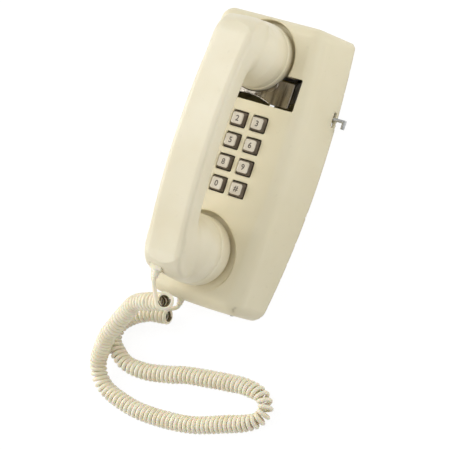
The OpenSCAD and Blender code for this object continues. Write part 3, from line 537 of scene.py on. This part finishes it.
def coverDistance(x, y, z):
    h = housing
    skin = housingSkin(x, y, z)
    shell = np.maximum(roundMax(skin, -(skin + h["wall"]), 0.4), -z)
    keys = np.maximum(keyWindows(x, y), h["keysCutZ"] - z)
    hookY, hookH = (h["hookLow"] + h["hookHigh"]) / 2, h["hookHigh"] - h["hookLow"]
    hook = np.maximum(roundedBox(x, y - hookY, h["hookW"], hookH, 1), h["hookCutZ"] - z)
    leverY, leverZ, *leverSize = h["lever"]
    lever = np.maximum(roundedBox(y - leverY, z - leverZ, *leverSize), h["cutX"] - x)
    jackX, jackZ, *jackSize = h["jack"]
    jack = np.maximum(roundedBox(x - jackX, z - jackZ, *jackSize), y - h["cutY"])
    screw = np.maximum(np.hypot(np.abs(x) - h["screwX"], z - h["screwZ"]) - h["screwR"], y - h["cutY"])
    shell = roundMax(shell, -keys, h["lip"])
    shell = roundMax(shell, -hook, h["lip"])
    shell = roundMax(shell, -lever, h["fineLip"])
    return roundMax(shell, -np.minimum(jack, screw), h["fineLip"])


def sharpFoot(points):  # brings the points within half a cell of the foot's outer edge onto it
    ring = (points[:, 2] < 0.6) & (np.abs(housingSkin(*points.T)) < 0.72)
    edge = points[ring]
    edge[:, 2] = 0
    for turn in range(3):
        lean = slope(housingSkin, edge)
        lean[:, 2] = 0
        edge -= lean * (housingSkin(*edge.T) / (lean ** 2).sum(1))[:, None]
    points[ring] = edge


def makeCover():
    h = housing
    near = lambda *marks: [(m - 1, m + 1, 0.5) for m in marks]
    sides = [n * h["pitchX"] + side * h["windowW"] / 2 for n in (-1, 0, 1) for side in (-1, 1)]
    xs = gradedAxis(-58.4, 58.4, 1.45, near(*sides, -h["hookW"] / 2, h["hookW"] / 2))
    middles = [h["keysY"] + r * h["pitchY"] for r in (-1.5, -0.5, 0.5, 1.5)]
    rows = [middle + side * h["windowH"] / 2 for middle in middles for side in (-1, 1)]
    ys = gradedAxis(-112.6, 111.1, 1.45, near(*rows, h["hookLow"], h["hookHigh"]))
    zs = gradedAxis(-0.7, 43.2, 1.4, [(29.6, 32.8, 0.6), (40.4, 42.6, 0.5)])
    return pieceFromDistance("housing_cover_visual", coverDistance, (xs, ys, zs), "ivoryAbs", sharpFoot)


finishPiece(makeCover(), "chassis", "ivory_shell", "housing_cover")


# handset: an arched bar that runs smoothly into two bells

handset = {
    "y": 3.5, "reach": 97, "topZ": 98.5, "arch": 376, "w": 32, "t": 19, "wall": 2.5,
    "chamfer": 2.1, "under": 4.6, "underLean": (0.78, 0.62),  # along the outer edges and the inner ones
    "slope": 7,  # the ends fall away at 45 degrees
    "roundTop": 2.2, "roundSide": 1.6, "roundUnder": 2.5, "roundSlope": 4, "roundEnd": 3.2,
    "earY": 78.7, "earR": 25.5, "earFace": 31, "earRim": 45,
    "mouthY": -71.7, "mouthR": 26.5, "mouthFace": 32.4, "mouthRim": 51,
    "blend": 7,  # fillet between the bar and the bells
    "bellIn": 0.4, "boreIn": 3.3, "boreDeep": 11,  # bells and their bores, smaller in radius than the caps
    "plugHole": (9.8, 7.8), "plugEnds": (-110, -80),
    "jackHole": (12.8, 9.8), "jackEnds": (-87.5, -72.3),
}
handset["endZ"] = handset["topZ"] - handset["reach"] ** 2 / (2 * handset["arch"])
handset["jackX"], handset["jackZ"] = -5, handset["endZ"] - 7.1


def barDistance(x, y, z, inset=0):
    h = handset
    along, up = y - h["y"], z - (h["topZ"] - h["arch"])
    fromMiddle = np.hypot(along, up)
    outer = fromMiddle - (h["arch"] - inset)
    inner = (h["arch"] - h["t"] + inset) - fromMiddle
    side = np.abs(x) - (h["w"] / 2 - inset)
    bevel = (outer + side + h["chamfer"]) * 0.7071  # flat chamfer at 45 degrees
    under = inner * h["underLean"][0] + (side + h["under"]) * h["underLean"][1]
    section = roundMax(roundMax(outer, bevel, h["roundTop"]), side, h["roundSide"])
    section = roundMax(section, roundMax(inner, under, h["roundUnder"]), h["roundSide"])
    end = np.abs(along) - (h["reach"] - inset)
    lean = (end + z - h["endZ"] + h["slope"] + inset) * 0.7071
    return roundMax(section, roundMax(end, lean, h["roundSlope"]), h["roundEnd"])


def bellDistance(x, y, z, middle, r, rim):
    h = handset
    top = h["endZ"] - 1
    across = np.hypot(x, y - middle)
    level = np.clip((z - rim) / (top - rim), -0.2, 1.2)
    bar = h["w"] / 2
    width = np.interp(
        level, [-0.2, 0, 0.15, 0.38, 0.74, 1, 1.2], [r, r, r, r - 1.5, r - 6, bar - 1, bar - 6])
    slopeFix = np.interp(level, [0, 0.2, 0.4, 1], [1, 0.98, 0.9, 0.8])
    body = (across - width) * slopeFix
    return np.maximum(np.maximum(body, z - top), rim - z)


def handsetOuter(x, y, z):
    h = handset
    ear = bellDistance(x, y, z, h["earY"], h["earR"] - h["bellIn"], h["earRim"])
    mouth = bellDistance(x, y, z, h["mouthY"], h["mouthR"] - h["bellIn"], h["mouthRim"])
    return roundMin(barDistance(x, y, z), np.minimum(ear, mouth), h["blend"])


def jackCut(x, y, z, size, ends):
    across = roundedBox(x - handset["jackX"], z - handset["jackZ"], *size, 0.3)
    return np.maximum(across, np.maximum(y - ends[1], ends[0] - y))


def handsetDistance(x, y, z):
    h = handset
    hole = barDistance(x, y, z, h["wall"])
    for middle, r, rim in ((h["earY"], h["earR"], h["earRim"]), (h["mouthY"], h["mouthR"], h["mouthRim"])):
        bore = np.hypot(x, y - middle) - (r - h["boreIn"])
        hole = np.minimum(hole, np.maximum(bore, z - rim - h["boreDeep"]))
    jack = jackCut(x, y, z, h["jackHole"], h["jackEnds"])
    shell = roundMax(handsetOuter(x, y, z), -np.minimum(hole, jack), 0.4)
    return roundMax(shell, -jackCut(x, y, z, h["plugHole"], h["plugEnds"]), 0.25)


def makeHandset():
    xs = gradedAxis(-29.2, 29.2, 1.15, [(-17, -12, 0.7), (12, 17, 0.7)])
    ys = gradedAxis(-99.6, 106.2, 1.2, [(-99.6, -84, 0.7), (98, 106.2, 0.7)])
    zs = gradedAxis(43.9, 99.6, 1.15, [(43.9, 46.5, 0.6), (50.2, 52, 0.6)])
    return pieceFromDistance("handset_shell_visual", handsetDistance, (xs, ys, zs), "handsetAbs")


finishPiece(makeHandset(), "handset", "ivory_shell", "handset_shell")


# lathed pieces

def lathedShape(profile, sides):  # profile, in (radius, z), runs from the axis round to the axis
    angle = np.arange(sides) * 2 * math.pi / sides
    points, rows = [], []
    for r, z in profile:
        count = 1 if r < 1e-6 else sides
        rows.append(list(range(len(points), len(points) + count)))
        points += [(r * math.cos(a), r * math.sin(a), z) for a in angle[:count]]
    return np.array(points), bands(rows, sides)


def lathe(name, profile, middle, finish, sides=96):
    points, faces = lathedShape(profile, sides)
    return pieceFrom(name, points + (*middle, 0), faces, finish)


def roundedProfile(corners, steps=5):  # each corner is (radius, z, fillet)
    out = [corners[0][:2]]
    for before, (r, z, f), after in zip(corners, corners[1:], corners[2:]):
        here = np.array((r, z), float)
        sides = [np.array(end[:2], float) - here for end in (before, after)]
        a, b = (here + side / np.linalg.norm(side) * min(f, np.linalg.norm(side) / 2) for side in sides)
        for t in np.linspace(0, 1, steps + 1):
            out.append(tuple(a * (1 - t) ** 2 + 2 * here * t * (1 - t) + b * t ** 2))
    return out + [corners[-1][:2]]


def capProfile(r, face, rim):
    return roundedProfile([
        (0, face, 0), (0.55 * r, face + 0.3, 2), (0.84 * r, face + 2, 3), (r, face + 5.5, 2.5),
        (r, rim - 1.2, 0.6), (r - 0.6, rim, 0.4), (r - 3, rim, 0.5), (r - 3, face + 5, 1), (0, face + 5, 0)])


# geometry nodes: what repeats is built as a tree with named inputs, then turned into a plain mesh

def newTree(name, inputs):
    tree = bpy.data.node_groups.new(name, "GeometryNodeTree")
    for way in ("OUTPUT", "INPUT"):
        tree.interface.new_socket("Geometry", in_out=way, socket_type="NodeSocketGeometry")
    for key, kind in inputs.items():
        tree.interface.new_socket(key, in_out="INPUT", socket_type="NodeSocket" + kind)
    return tree, addNode(tree, "NodeGroupInput").outputs, addNode(tree, "NodeGroupOutput")


def made(tree, kind, settings=None, links=None):  # a geometry node's first output
    return addNode(tree, "GeometryNode" + kind, settings, links).outputs[0]


def times(tree, value, share):
    return addNode(tree, "ShaderNodeMath", {"operation": "MULTIPLY", 1: share}, {0: value}).outputs[0]


def moved(tree, geometry, height):  # along Z
    offset = addNode(tree, "ShaderNodeCombineXYZ", links={"Z": height}).outputs[0]
    return made(tree, "Transform", links={"Geometry": geometry, "Translation": offset})


def joined(tree, *sources):
    join = addNode(tree, "GeometryNodeJoinGeometry")
    for source in sources:
        tree.links.new(source, join.inputs[0])
    return join.outputs[0]


def without(tree, whole, cut):
    settings = {"operation": "DIFFERENCE", "solver": "EXACT"}
    return made(tree, "MeshBoolean", settings, {"Mesh 1": whole, "Mesh 2": cut})


def endTree(tree, output, geometry, finish):
    whole = made(tree, "RealizeInstances", links={"Geometry": geometry})
    dressed = made(tree, "SetMaterial", {"Material": finishes[finish]}, {"Geometry": whole})
    tree.links.new(dressed, output.inputs[0])
    return tree


def plainMesh(piece):  # the mesh that its modifiers make
    bpy.context.view_layer.update()
    return bpy.data.meshes.new_from_object(piece.evaluated_get(bpy.context.evaluated_depsgraph_get()))


def smoothByAngle(piece, degrees=35):
    piece.data.polygons.foreach_set("use_smooth", [True] * len(piece.data.polygons))
    piece.data.set_sharp_from_angle(angle=math.radians(degrees))


def bakeTree(host, tree, values):  # runs the tree on the host's mesh and keeps the plain result
    modifier = host.modifiers.new(tree.name, "NODES")
    modifier.node_group = tree
    names = {item.name: item.identifier for item in tree.interface.items_tree if item.in_out == "INPUT"}
    for key, value in values.items():
        modifier[names[key]] = value
    host.update_tag()
    mesh = plainMesh(host)
    host.modifiers.remove(modifier)
    host.data = mesh
    smoothByAngle(host)
    return host


def bevelled(piece, width, degrees):  # width in mm
    bevel = piece.modifiers.new("edges", "BEVEL")
    bevel.width, bevel.segments = width / 1000, 2
    bevel.limit_method, bevel.angle_limit = "ANGLE", math.radians(degrees)
    mesh = plainMesh(piece)
    piece.modifiers.clear()
    piece.data = mesh
    smoothByAngle(piece)


def perforationTree():  # a ring of holes and one in its middle, cut through a cap
    tree, given, output = newTree("perforations", {
        "Ring Radius": "Float", "Hole Radius": "Float", "Count": "Int", "Middle": "Vector"})
    ring = made(tree, "MeshCircle", links={"Vertices": given["Count"], "Radius": given["Ring Radius"]})
    spots = joined(tree, ring, made(tree, "MeshLine", {"Count": 1}))
    drill = made(tree, "MeshCylinder", {"Vertices": 14, "Depth": 0.02}, {"Radius": given["Hole Radius"]})
    drills = made(tree, "InstanceOnPoints", links={"Points": spots, "Instance": drill})
    placed = made(tree, "Transform", links={"Geometry": drills, "Translation": given["Middle"]})
    solid = made(tree, "RealizeInstances", links={"Geometry": placed})
    return endTree(tree, output, without(tree, given["Geometry"], solid), "handsetAbs")


def screwTree():  # slotted pan-head screws on the host's points; the shank runs along +Z
    tree, given, output = newTree("slottedScrews", {
        "Head Radius": "Float", "Head Height": "Float", "Shank Radius": "Float", "Shank Length": "Float",
        "Slot": "Float", "Turn": "Vector"})
    radius, height, length = given["Head Radius"], given["Head Height"], given["Shank Length"]
    crown = made(tree, "MeshCone", {"Vertices": 32}, {
        "Radius Top": radius, "Radius Bottom": times(tree, radius, 0.8), "Depth": height})
    slotSides = {"X": times(tree, radius, 3), "Y": given["Slot"], "Z": height}
    slotSize = addNode(tree, "ShaderNodeCombineXYZ", links=slotSides).outputs[0]
    slot = made(tree, "MeshCube", links={"Size": slotSize})
    lift = times(tree, height, -1)
    head = without(tree, moved(tree, crown, lift), moved(tree, slot, lift))
    shank = made(tree, "MeshCylinder", {"Vertices": 20}, {"Radius": given["Shank Radius"], "Depth": length})
    screw = joined(tree, head, moved(tree, shank, times(tree, length, 0.5)))
    screws = made(tree, "InstanceOnPoints", links={
        "Points": given["Geometry"], "Instance": screw, "Rotation": given["Turn"]})
    return endTree(tree, output, screws, "zincSteel")


def windingTree():  # wire wound on bobbins that stand along +Y from the host's points
    tree, given, output = newTree("windings", dict.fromkeys(["Radius", "Length", "Wire", "Turns"], "Float"))
    radius, length = given["Radius"], given["Length"]
    spiral = made(tree, "CurveSpiral", {"Resolution": 28}, {
        "Rotations": given["Turns"], "Start Radius": radius, "End Radius": radius, "Height": length})
    section = made(tree, "CurvePrimitiveCircle", {"Resolution": 6}, {"Radius": given["Wire"]})
    wire = made(tree, "CurveToMesh", {"Fill Caps": True}, {"Curve": spiral, "Profile Curve": section})
    core = made(tree, "MeshCylinder", {"Vertices": 40}, {"Radius": radius, "Depth": length})
    coil = joined(tree, wire, moved(tree, core, times(tree, length, 0.5)))
    coils = made(tree, "InstanceOnPoints", {"Rotation": (-math.pi / 2, 0, 0)}, {
        "Points": given["Geometry"], "Instance": coil})
    return endTree(tree, output, coils, "enamelledCopper")


def pointsHost(name, places):  # an object whose points say where the repeats go, in mm
    mesh = bpy.data.meshes.new(name)
    mesh.from_pydata([tuple(v / 1000 for v in place) for place in places], [], [])
    return newObject(name, mesh)


caps = {"ear": 6, "mouth": 8}  # radius of the ring of holes
perforations = perforationTree()
for end, ring in caps.items():
    y, r, face, rim = (handset[end + key] for key in ("Y", "R", "Face", "Rim"))
    cap = lathe(end + "_cap_visual", capProfile(r, face, rim), (0, y), "handsetAbs")
    bakeTree(cap, perforations, {
        "Ring Radius": ring / 1000, "Hole Radius": 0.001, "Count": 6, "Middle": (0, y / 1000, face / 1000)})
    finishPiece(cap, "handset", "ivory_shell", end + "_cap")
print("caps drilled")

screws = {
    "cover_screws": {  # low heads, because the housing's lower end bows out around them
        "places": [(side * housing["screwX"], -housing["topY"], housing["screwZ"]) for side in (-1, 1)],
        "head": (2.6, 0.9), "shank": (1.2, 7.5), "turn": (-math.pi / 2, 0, 0.4)},
    "keypad_screws": {
        "places": [(x, housing["keysY"] + y, 23.2) for x in (-30.7, 30.7) for y in (-33.2, 33.2)],
        "head": (2.6, 1.4), "shank": (1.2, 7.6), "turn": (0, 0, 0.7)},
}
screwNodes = screwTree()
for name, c in screws.items():
    (headR, headH), (shankR, shankL) = c["head"], c["shank"]
    screw = bakeTree(pointsHost(name + "_visual", c["places"]), screwNodes, {
        "Head Radius": headR / 1000, "Head Height": headH / 1000, "Shank Radius": shankR / 1000,
        "Shank Length": shankL / 1000, "Slot": 0.0007, "Turn": c["turn"]})
    finishPiece(screw, "chassis", "plated_steel", name)
print("screws placed")

coils = {"x": 16, "r": 7, "rim": 8, "rimT": 1.5, "wire": 0.3}


def makeCoils():
    c = coils
    low, high = (np.array(corner) * 1000 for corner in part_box("ringer_coils"))
    middleZ, bare = (low[2] + high[2]) / 2, high[1] - low[1] - 2 * c["rimT"]
    places = [(side * c["x"], low[1] + c["rimT"], middleZ) for side in (-1, 1)]
    wound = bakeTree(pointsHost("ringer_coils_visual", places), windingTree(), {
        "Radius": (c["r"] - c["wire"]) / 1000, "Length": bare / 1000, "Wire": c["wire"] / 1000,
        "Turns": bare / (2 * c["wire"])})
    finishPiece(wound, "chassis", "coil_wire", "ringer_coils")
    r, t = c["rim"], c["rimT"]
    profile = roundedProfile([(0, 0, 0), (r, 0, 0.3), (r, t, 0.3), (0, t, 0)], 3)
    upright = Matrix.Rotation(-math.pi / 2, 4, "X")
    for side, sideName in ((-1, "_left"), (1, "_right")):
        for end, y in (("low", low[1]), ("high", high[1] - c["rimT"])):
            rim = lathe("bobbin_rim_" + end + sideName, profile, (0, 0), "boardPhenolic", 48)
            place = Vector((side * c["x"], y, middleZ)) / 1000
            rim.data.transform(Matrix.Translation(place) @ upright)
            smoothByAngle(rim)
            finishPiece(rim, "chassis", "board")


makeCoils()
print("coils wound")


# keys: one shape for all twelve, each with its own digit

keys = {
    "w": 11.4, "h": 10.6, "lean": 1.2, "rise": 3.4, "faceZ": housing["faceZ"],
    "sideScale": 0.884,  # evens out the distance along the leaning sides
    "dish": 0.35, "dishSquare": 30,  # the dish's depth, and its radius squared
    "flangeW": 16.4, "flangeH": 16, "flangeLow": 37.6, "flangeHigh": 38.8, "stem": 8, "stemLow": 29.3,
    "shadeBelow": 41.6,  # below this height the key is painted dark, as shade on the foot that shows in the window
    "rimBelow": 2.9,  # the painted shade on the sides ends this far above the housing's face
    "digit": 5.2,  # height of a digit's line
    "stroke": 0.14,  # added to a digit's strokes, each side
    "above": 0.03,  # a digit lies this far above the key's top
    "names": [*"123456789", "star", "0", "hash"],
    "marks": "123456789*0#",
}


def keyTop(x, y):
    k = keys
    return k["faceZ"] + k["rise"] - k["dish"] * np.clip(1 - (x * x + y * y) / k["dishSquare"], -0.4, 1)


def keyDistance(x, y, z):
    k = keys
    inset = k["lean"] * np.clip((z - k["faceZ"]) / k["rise"], 0, 1.3)
    side = roundedBox(x, y, k["w"] - 2 * inset, k["h"] - 2 * inset, 1.3)
    side = np.maximum(side * np.where(z > k["faceZ"], k["sideScale"], 1), k["flangeLow"] + 0.3 - z)
    cap = roundMax(side, z - keyTop(x, y), 0.75)
    thickness = np.maximum(k["flangeLow"] - z, z - k["flangeHigh"])
    flange = np.maximum(roundedBox(x, y, k["flangeW"], k["flangeH"], 0.8), thickness)
    length = np.maximum(z - k["flangeHigh"], k["stemLow"] - z)
    stem = np.maximum(roundedBox(x, y, k["stem"], k["stem"], 0.5), length)
    return roundMin(np.minimum(cap, stem), flange, 0.3)


def digitShape(mark):  # outline of a digit, bent to the dished top
    text = bpy.data.curves.new("digit", "FONT")
    text.body = mark
    text.align_x, text.align_y = "CENTER", "CENTER"
    text.size = keys["digit"] * (1.6 if mark == "*" else 1.15)
    text.resolution_u = 4
    text.offset = keys["stroke"]
    holder = newObject("digit", text)
    mesh = plainMesh(holder)
    bpy.data.objects.remove(holder)
    points, faces = meshData(mesh)
    points[:, :2] -= (points[:, :2].max(0) + points[:, :2].min(0)) / 2
    points[:, 2] = keyTop(points[:, 0], points[:, 1]) + keys["above"]
    return points, faces


def makeKeys():
    k = keys
    zs = gradedAxis(28.9, 45.9, 1.1, [(37, 39.4, 0.5), (41.4, 45.9, 0.4)])
    axes = (gradedAxis(-8.6, 8.6, 0.6), gradedAxis(-8.4, 8.4, 0.6), zs)
    shape = pieceFromDistance("keyShape", keyDistance, axes, "keyAbs")
    base, baseFaces = meshData(shape.data)
    base *= 1000
    shade = np.array([v.vector[:] for v in shape.data.vertex_normals])
    bpy.data.objects.remove(shape)
    high, flat = (np.array([abs(rows[f, 2].mean()) for f in baseFaces]) for rows in (base, shade))
    # painted shade: the steep sides low on each cap take a brown shaded finish
    shadedSides = (flat < 0.62) & (high < k["faceZ"] + k["rimBelow"])
    # painted shade: the foot below this height takes the dark finish, though the real key is one colour there
    kinds = np.where(high < k["shadeBelow"], 2, np.where(shadedSides, 3, 0)).tolist()
    for n, (name, mark) in enumerate(zip(k["names"], k["marks"])):
        digit, digitFaces = digitShape(mark)
        middle = [(n % 3 - 1) * housing["pitchX"], housing["keysY"] + (1.5 - n // 3) * housing["pitchY"], 0]
        faces = baseFaces + [[len(base) + v for v in f] for f in digitFaces]
        normals = np.vstack([shade, np.tile((0, 0, 1), (len(digit), 1))])
        points = np.vstack([base, digit]) + middle
        piece = pieceFrom("key_" + name + "_visual", points, faces, "keyAbs", normals)
        paintFaces(piece, kinds + [1] * len(digitFaces), ["digitAbs", "darkAbsAndShade", "keySideShade"])
        finishPiece(piece, "key_" + name + "_cap", "key_plastic", "key_" + name)
    print("keys made")


makeKeys()


# hook saddle: a pressed and plated steel plate with an arch, a curved seat and two arms

saddle = {
    "w": 69.6, "low": 46.5, "h": 19, "t": 1.8, "front": 40, "seatR": 25.9, "earY": housing["earY"],
    "archTop": 50.3, "archR": 49.4, "seatHalf": 21, "seatDepth": 4.5, "seatH": 16,
    "pivot": (76, 14), "pin": 2.06,
    "armUp": 11.5, "armIn": 1.5,  # where the arms' middle line meets the plate
    "armBack": 4.8, "armFront": 7.4,  # half heights of the arms' ends
    "bead": 0.75, "beadHalf": 18.5,  # rolled edge along the arch
}


def saddleDistance(x, y, z):
    c = saddle
    plateLow = c["front"] - c["t"]
    slab = np.abs(z - c["front"] + c["t"] / 2) - c["t"] / 2
    plate = roundedBox(x, y - c["low"] - c["h"] / 2, c["w"], c["h"], 1.2)
    toArch = np.hypot(x, y - c["archTop"] + c["archR"]) - c["archR"]
    plate = roundMax(roundMax(plate, -toArch, 0.8), slab, 0.5)
    toEar = np.hypot(x, y - c["earY"])
    wall = np.maximum(c["seatR"] - toEar, toEar - c["seatR"] - c["t"])
    depth = np.abs(z - (c["front"] + plateLow - c["seatDepth"]) / 2) - (c["t"] + c["seatDepth"]) / 2
    ends = np.maximum(c["archTop"] - y, y - c["archTop"] - c["seatH"])
    seat = roundMax(np.maximum(wall, depth), np.maximum(np.abs(x) - c["seatHalf"], ends), 0.5)
    # arms, seen from the side: a tapering strap from the plate back to the pin
    py, pz = c["pivot"]
    alongY, alongZ = c["low"] + c["armUp"] - py, plateLow - c["armIn"] - pz
    share = np.clip(((y - py) * alongY + (z - pz) * alongZ) / (alongY ** 2 + alongZ ** 2), 0, 1)
    width = c["armBack"] + share * (c["armFront"] - c["armBack"])
    strap = np.hypot(y - py - share * alongY, z - pz - share * alongZ) - width
    strap = np.maximum(strap, z - c["front"] + 0.6)
    arm = roundMax(strap, np.abs(np.abs(x) - c["w"] / 2 + c["t"] / 2) - c["t"] / 2, 0.4)
    body = roundMin(roundMin(plate, seat, 0.8), arm, 1.2)
    bead = np.hypot(toArch - 0.4, z - c["front"] + c["bead"]) - c["bead"]
    body = roundMin(body, np.maximum(bead, np.abs(x) - c["beadHalf"]), 0.4)
    body = roundMax(body, c["seatR"] - toEar, 0.3)
    return roundMax(body, c["pin"] - np.hypot(y - py, z - pz), 0.2)


def makeSaddle():
    xs = gradedAxis(-35.3, 35.3, 0.75, [(-35.3, -32.4, 0.45), (32.4, 35.3, 0.45)])
    ys, zs = gradedAxis(45.9, 81.5, 0.7), gradedAxis(8.6, 40.7, 0.9, [(33, 40.7, 0.45)])
    return pieceFromDistance("hook_saddle_visual", saddleDistance, (xs, ys, zs), "chromePlate")


finishPiece(makeSaddle(), "saddle", "hook_chrome", "hook_saddle")


# cord plugs: clear moulded body with a latch and gilt contacts, and a soft tapered boot

plug = {
    "w": 9.6, "h": 7.6, "bootL": 6, "bootOut": 2, "collar": 6.5, "step": 1.2,
    "latchHalf": 1.8, "latchEnd": 1.5, "contacts": 4, "contactPitch": 1.27, "contactHalf": 0.2,
    "contactLow": (5, 0.3), "contactHigh": (0.6, 3.2),  # corners, back from the tip and up from the bottom
    "bootProfile": [  # radius, and quarters of the length from the cord inwards, with three grooves
        (0, 0), (2.0, 0), (2.25, 0.3), (2.4, 1), (2.15, 1.15), (2.15, 1.45), (2.6, 1.6), (2.75, 2.2),
        (2.45, 2.35), (2.45, 2.65), (2.95, 2.8), (3.2, 3.4), (3.2, 4.3), (0, 4.3)],
}


def blockShape(low, high):
    x, y, z = zip(low, high)
    points = [(x[i], y[j], z[k]) for i in (0, 1) for j in (0, 1) for k in (0, 1)]
    return points, [[0, 1, 3, 2], [4, 6, 7, 5], [0, 4, 5, 1], [2, 3, 7, 6], [0, 2, 6, 4], [1, 5, 7, 3]]


def bootShape(tip):  # turned about Y, which reverses the faces
    profile = [(r, along * plug["bootL"] / 4 - plug["bootOut"]) for r, along in plug["bootProfile"]]
    points, faces = lathedShape(profile, 32)
    return (points[:, [0, 2, 1]] + tip).tolist(), [face[::-1] for face in faces]


def makePlug(name, tip, bodyL, body):  # tip is the solid boot's outer end; the plug points along +Y
    c = plug
    tx, ty, tz = tip
    front = ty + c["bootL"] - c["bootOut"]
    collar, back = front + c["collar"], front + bodyL
    left, right, low, high = tx - c["w"] / 2, tx + c["w"] / 2, tz - c["h"] / 2, tz + c["h"] / 2
    latchLow, latch = high - c["step"] + 0.1, c["latchHalf"]
    finishNames = ["clearPolycarbonate", "goldContact", "cordPvc"]
    parts = [
        (blockShape((left, front, low), (right, collar, high)), 2),
        (blockShape((left, collar, low), (right, back, high - c["step"])), 0),
        (blockShape((tx - latch, collar, latchLow), (tx + latch, back - c["latchEnd"], high)), 0)]
    half, (far, bottom), (near, top) = c["contactHalf"], c["contactLow"], c["contactHigh"]
    for n in range(c["contacts"]):
        x = tx + (n - (c["contacts"] - 1) / 2) * c["contactPitch"]
        strip = blockShape((x - half, back - far, low + bottom), (x + half, back - near, low + top))
        parts.append((strip, 1))
    parts.append((bootShape(tip), 2))
    points, faces, kinds = [], [], []
    for (p, f), kind in parts:
        faces += [[len(points) + v for v in face] for face in f]
        points += p
        kinds += [kind] * len(f)
    piece = pieceFrom(name + "_visual", points, faces, finishNames[0])
    paintFaces(piece, kinds, finishNames[1:])
    bevelled(piece, 0.3, 50)
    return finishPiece(piece, body, "clear_plastic", name)


handsetPlug = makePlug("handset_plug", (handset["jackX"], -98, handset["jackZ"]), 16.5, "handset")
basePlug = makePlug("base_plug", (housing["jack"][0], -114, housing["jack"][1]), 13, "chassis")
print("plugs made")


# other pieces keep the solids' shapes: those in sight get softened edges, the rest only their materials

def softened(name, finish, slotName, width, body="chassis"):
    mesh = nodes[name].data.copy()
    shape = bmesh.new()
    shape.from_mesh(mesh)
    bmesh.ops.remove_doubles(shape, verts=shape.verts, dist=2e-6)
    bmesh.ops.dissolve_limit(shape, angle_limit=math.radians(1), verts=shape.verts, edges=shape.edges)
    shape.to_mesh(mesh)
    shape.free()
    mesh.materials.clear()
    mesh.materials.append(finishes[finish])
    mesh.polygons.foreach_set("material_index", [0] * len(mesh.polygons))
    piece = newObject(name + "_visual", mesh)
    bevelled(piece, width, 40)
    return finishPiece(piece, body, slotName, name)


inSight = {  # node: finish, slot, rounding in mm, body if it isn't the chassis
    "base_plate": ("chromatedSteel", "plated_steel", 0.3),
    "wall_plug": ("clearPolycarbonate", "clear_plastic", 0.4),
    "hook_bracket": ("zincSteel", "plated_steel", 0.3),
    "hook_pin": ("zincSteel", "plated_steel", 0.3),
    "hook_switch": ("darkAbsAndShade", "dark_plastic", 0.4),
    "cord_jack": ("darkAbsAndShade", "dark_plastic", 0.3),
    "handset_jack": ("darkAbsAndShade", "dark_plastic", 0.3, "handset"),
    "lever_rivet": ("zincSteel", "plated_steel", 0.25),
    "loudness_lever": ("zincSteel", "plated_steel", 0.35, "volume_lever"),
    "network_capacitors": ("dippedEpoxy", "capacitor_case", 0.9),
    "keypad_frame": ("darkAbsAndShade", "dark_plastic", 0.3),
}
for name, values in inSight.items():
    softened(name, *values)

inside = {
    "zincSteel": [
        "board_standoffs", "ringer_frame", "gong_screws", "receiver_capsule", "transmitter_capsule"],
    "boardPhenolic": ["keypad_board", "network_board"],
    "spunBrass": ["gong_left", "gong_right", "clapper"],
    "darkAbsAndShade": ["line_transformer", "transmitter_cup"],
    "matRubber": ["contact_mat"],
}
for finish, names in inside.items():
    for name in names:
        materials = nodes[name].data.materials
        for n in range(len(materials)):
            materials[n] = finishes[finish]
print("other pieces dressed")


# light, floor and the last lines

light = {
    "world": 0.4,
    "lamps": [  # direction from the object, size and distance in m, share of full light
        ((-0.75, 0.35, 0.9), 1.4, 2.2, 0.25),
        ((0.25, 0.1, 1.0), 1.8, 2.2, 0.18),
        ((-0.95, 0.1, 0.4), 0.8, 2.2, 0.21),
        ((-0.7, -0.5, 0.5), 1.0, 2.2, 0.26),
        ((0.8, 0.5, 0.3), 0.4, 0.6, 0.24),
    ],
}
floor = {"half": 6, "below": 0.0003, "grey": 0.86, "seenGrey": 0.16, "seenGlow": 0.9}  # metres and shares


def makeLight():
    world = bpy.data.worlds.new("studio")
    bpy.context.scene.world = world
    tree = emptyTree(world)
    sky = addNode(tree, "ShaderNodeBackground", {"Color": (1, 1, 1, 1), "Strength": light["world"]})
    addNode(tree, "ShaderNodeOutputWorld", links={"Surface": sky.outputs[0]})
    for number, (toward, size, away, share) in enumerate(light["lamps"]):
        data = bpy.data.lights.new("lamp" + str(number), "AREA")
        data.shape = "DISK"
        data.size = size
        data.energy = share * math.pi ** 2 * away ** 2
        direction = Vector(toward).normalized()
        facing = direction.to_track_quat("Z", "Y").to_matrix().to_4x4()
        newObject(data.name, data).matrix_world = Matrix.Translation(direction * away) @ facing


def makeFloor():  # paper that glows to the camera and in reflections but lights the object as paper does
    c = floor
    material = bpy.data.materials.new("floorPaper")
    tree = emptyTree(material)
    seen = addNode(tree, "ShaderNodeLightPath")
    greys = ({"Color": (v, v, v, 1)} for v in (c["grey"], c["seenGrey"]))
    paper, bright = (addNode(tree, "ShaderNodeBsdfDiffuse", grey) for grey in greys)
    lift = addNode(tree, "ShaderNodeEmission", {"Strength": c["seenGlow"]})
    both = addNode(tree, "ShaderNodeAddShader", links={0: bright.outputs[0], 1: lift.outputs[0]})
    direct = seen.outputs["Is Camera Ray"]
    for kind in ("Is Glossy Ray", "Is Transmission Ray"):
        either = addNode(tree, "ShaderNodeMath", {"operation": "MAXIMUM"}, {0: direct, 1: seen.outputs[kind]})
        direct = either.outputs[0]
    mix = addNode(tree, "ShaderNodeMixShader", links={0: direct, 1: paper.outputs[0], 2: both.outputs[0]})
    addNode(tree, "ShaderNodeOutputMaterial", links={"Surface": mix.outputs[0]})
    mesh = bpy.data.meshes.new("floor")
    corners = [(x * c["half"], y * c["half"], -c["below"]) for x, y in ((-1, -1), (1, -1), (1, 1), (-1, 1))]
    mesh.from_pydata(corners, [], [(0, 1, 2, 3)])
    mesh.materials.append(material)
    newObject("floor", mesh)


makeLight()
makeFloor()
bpy.context.scene.view_settings.view_transform = "Standard"
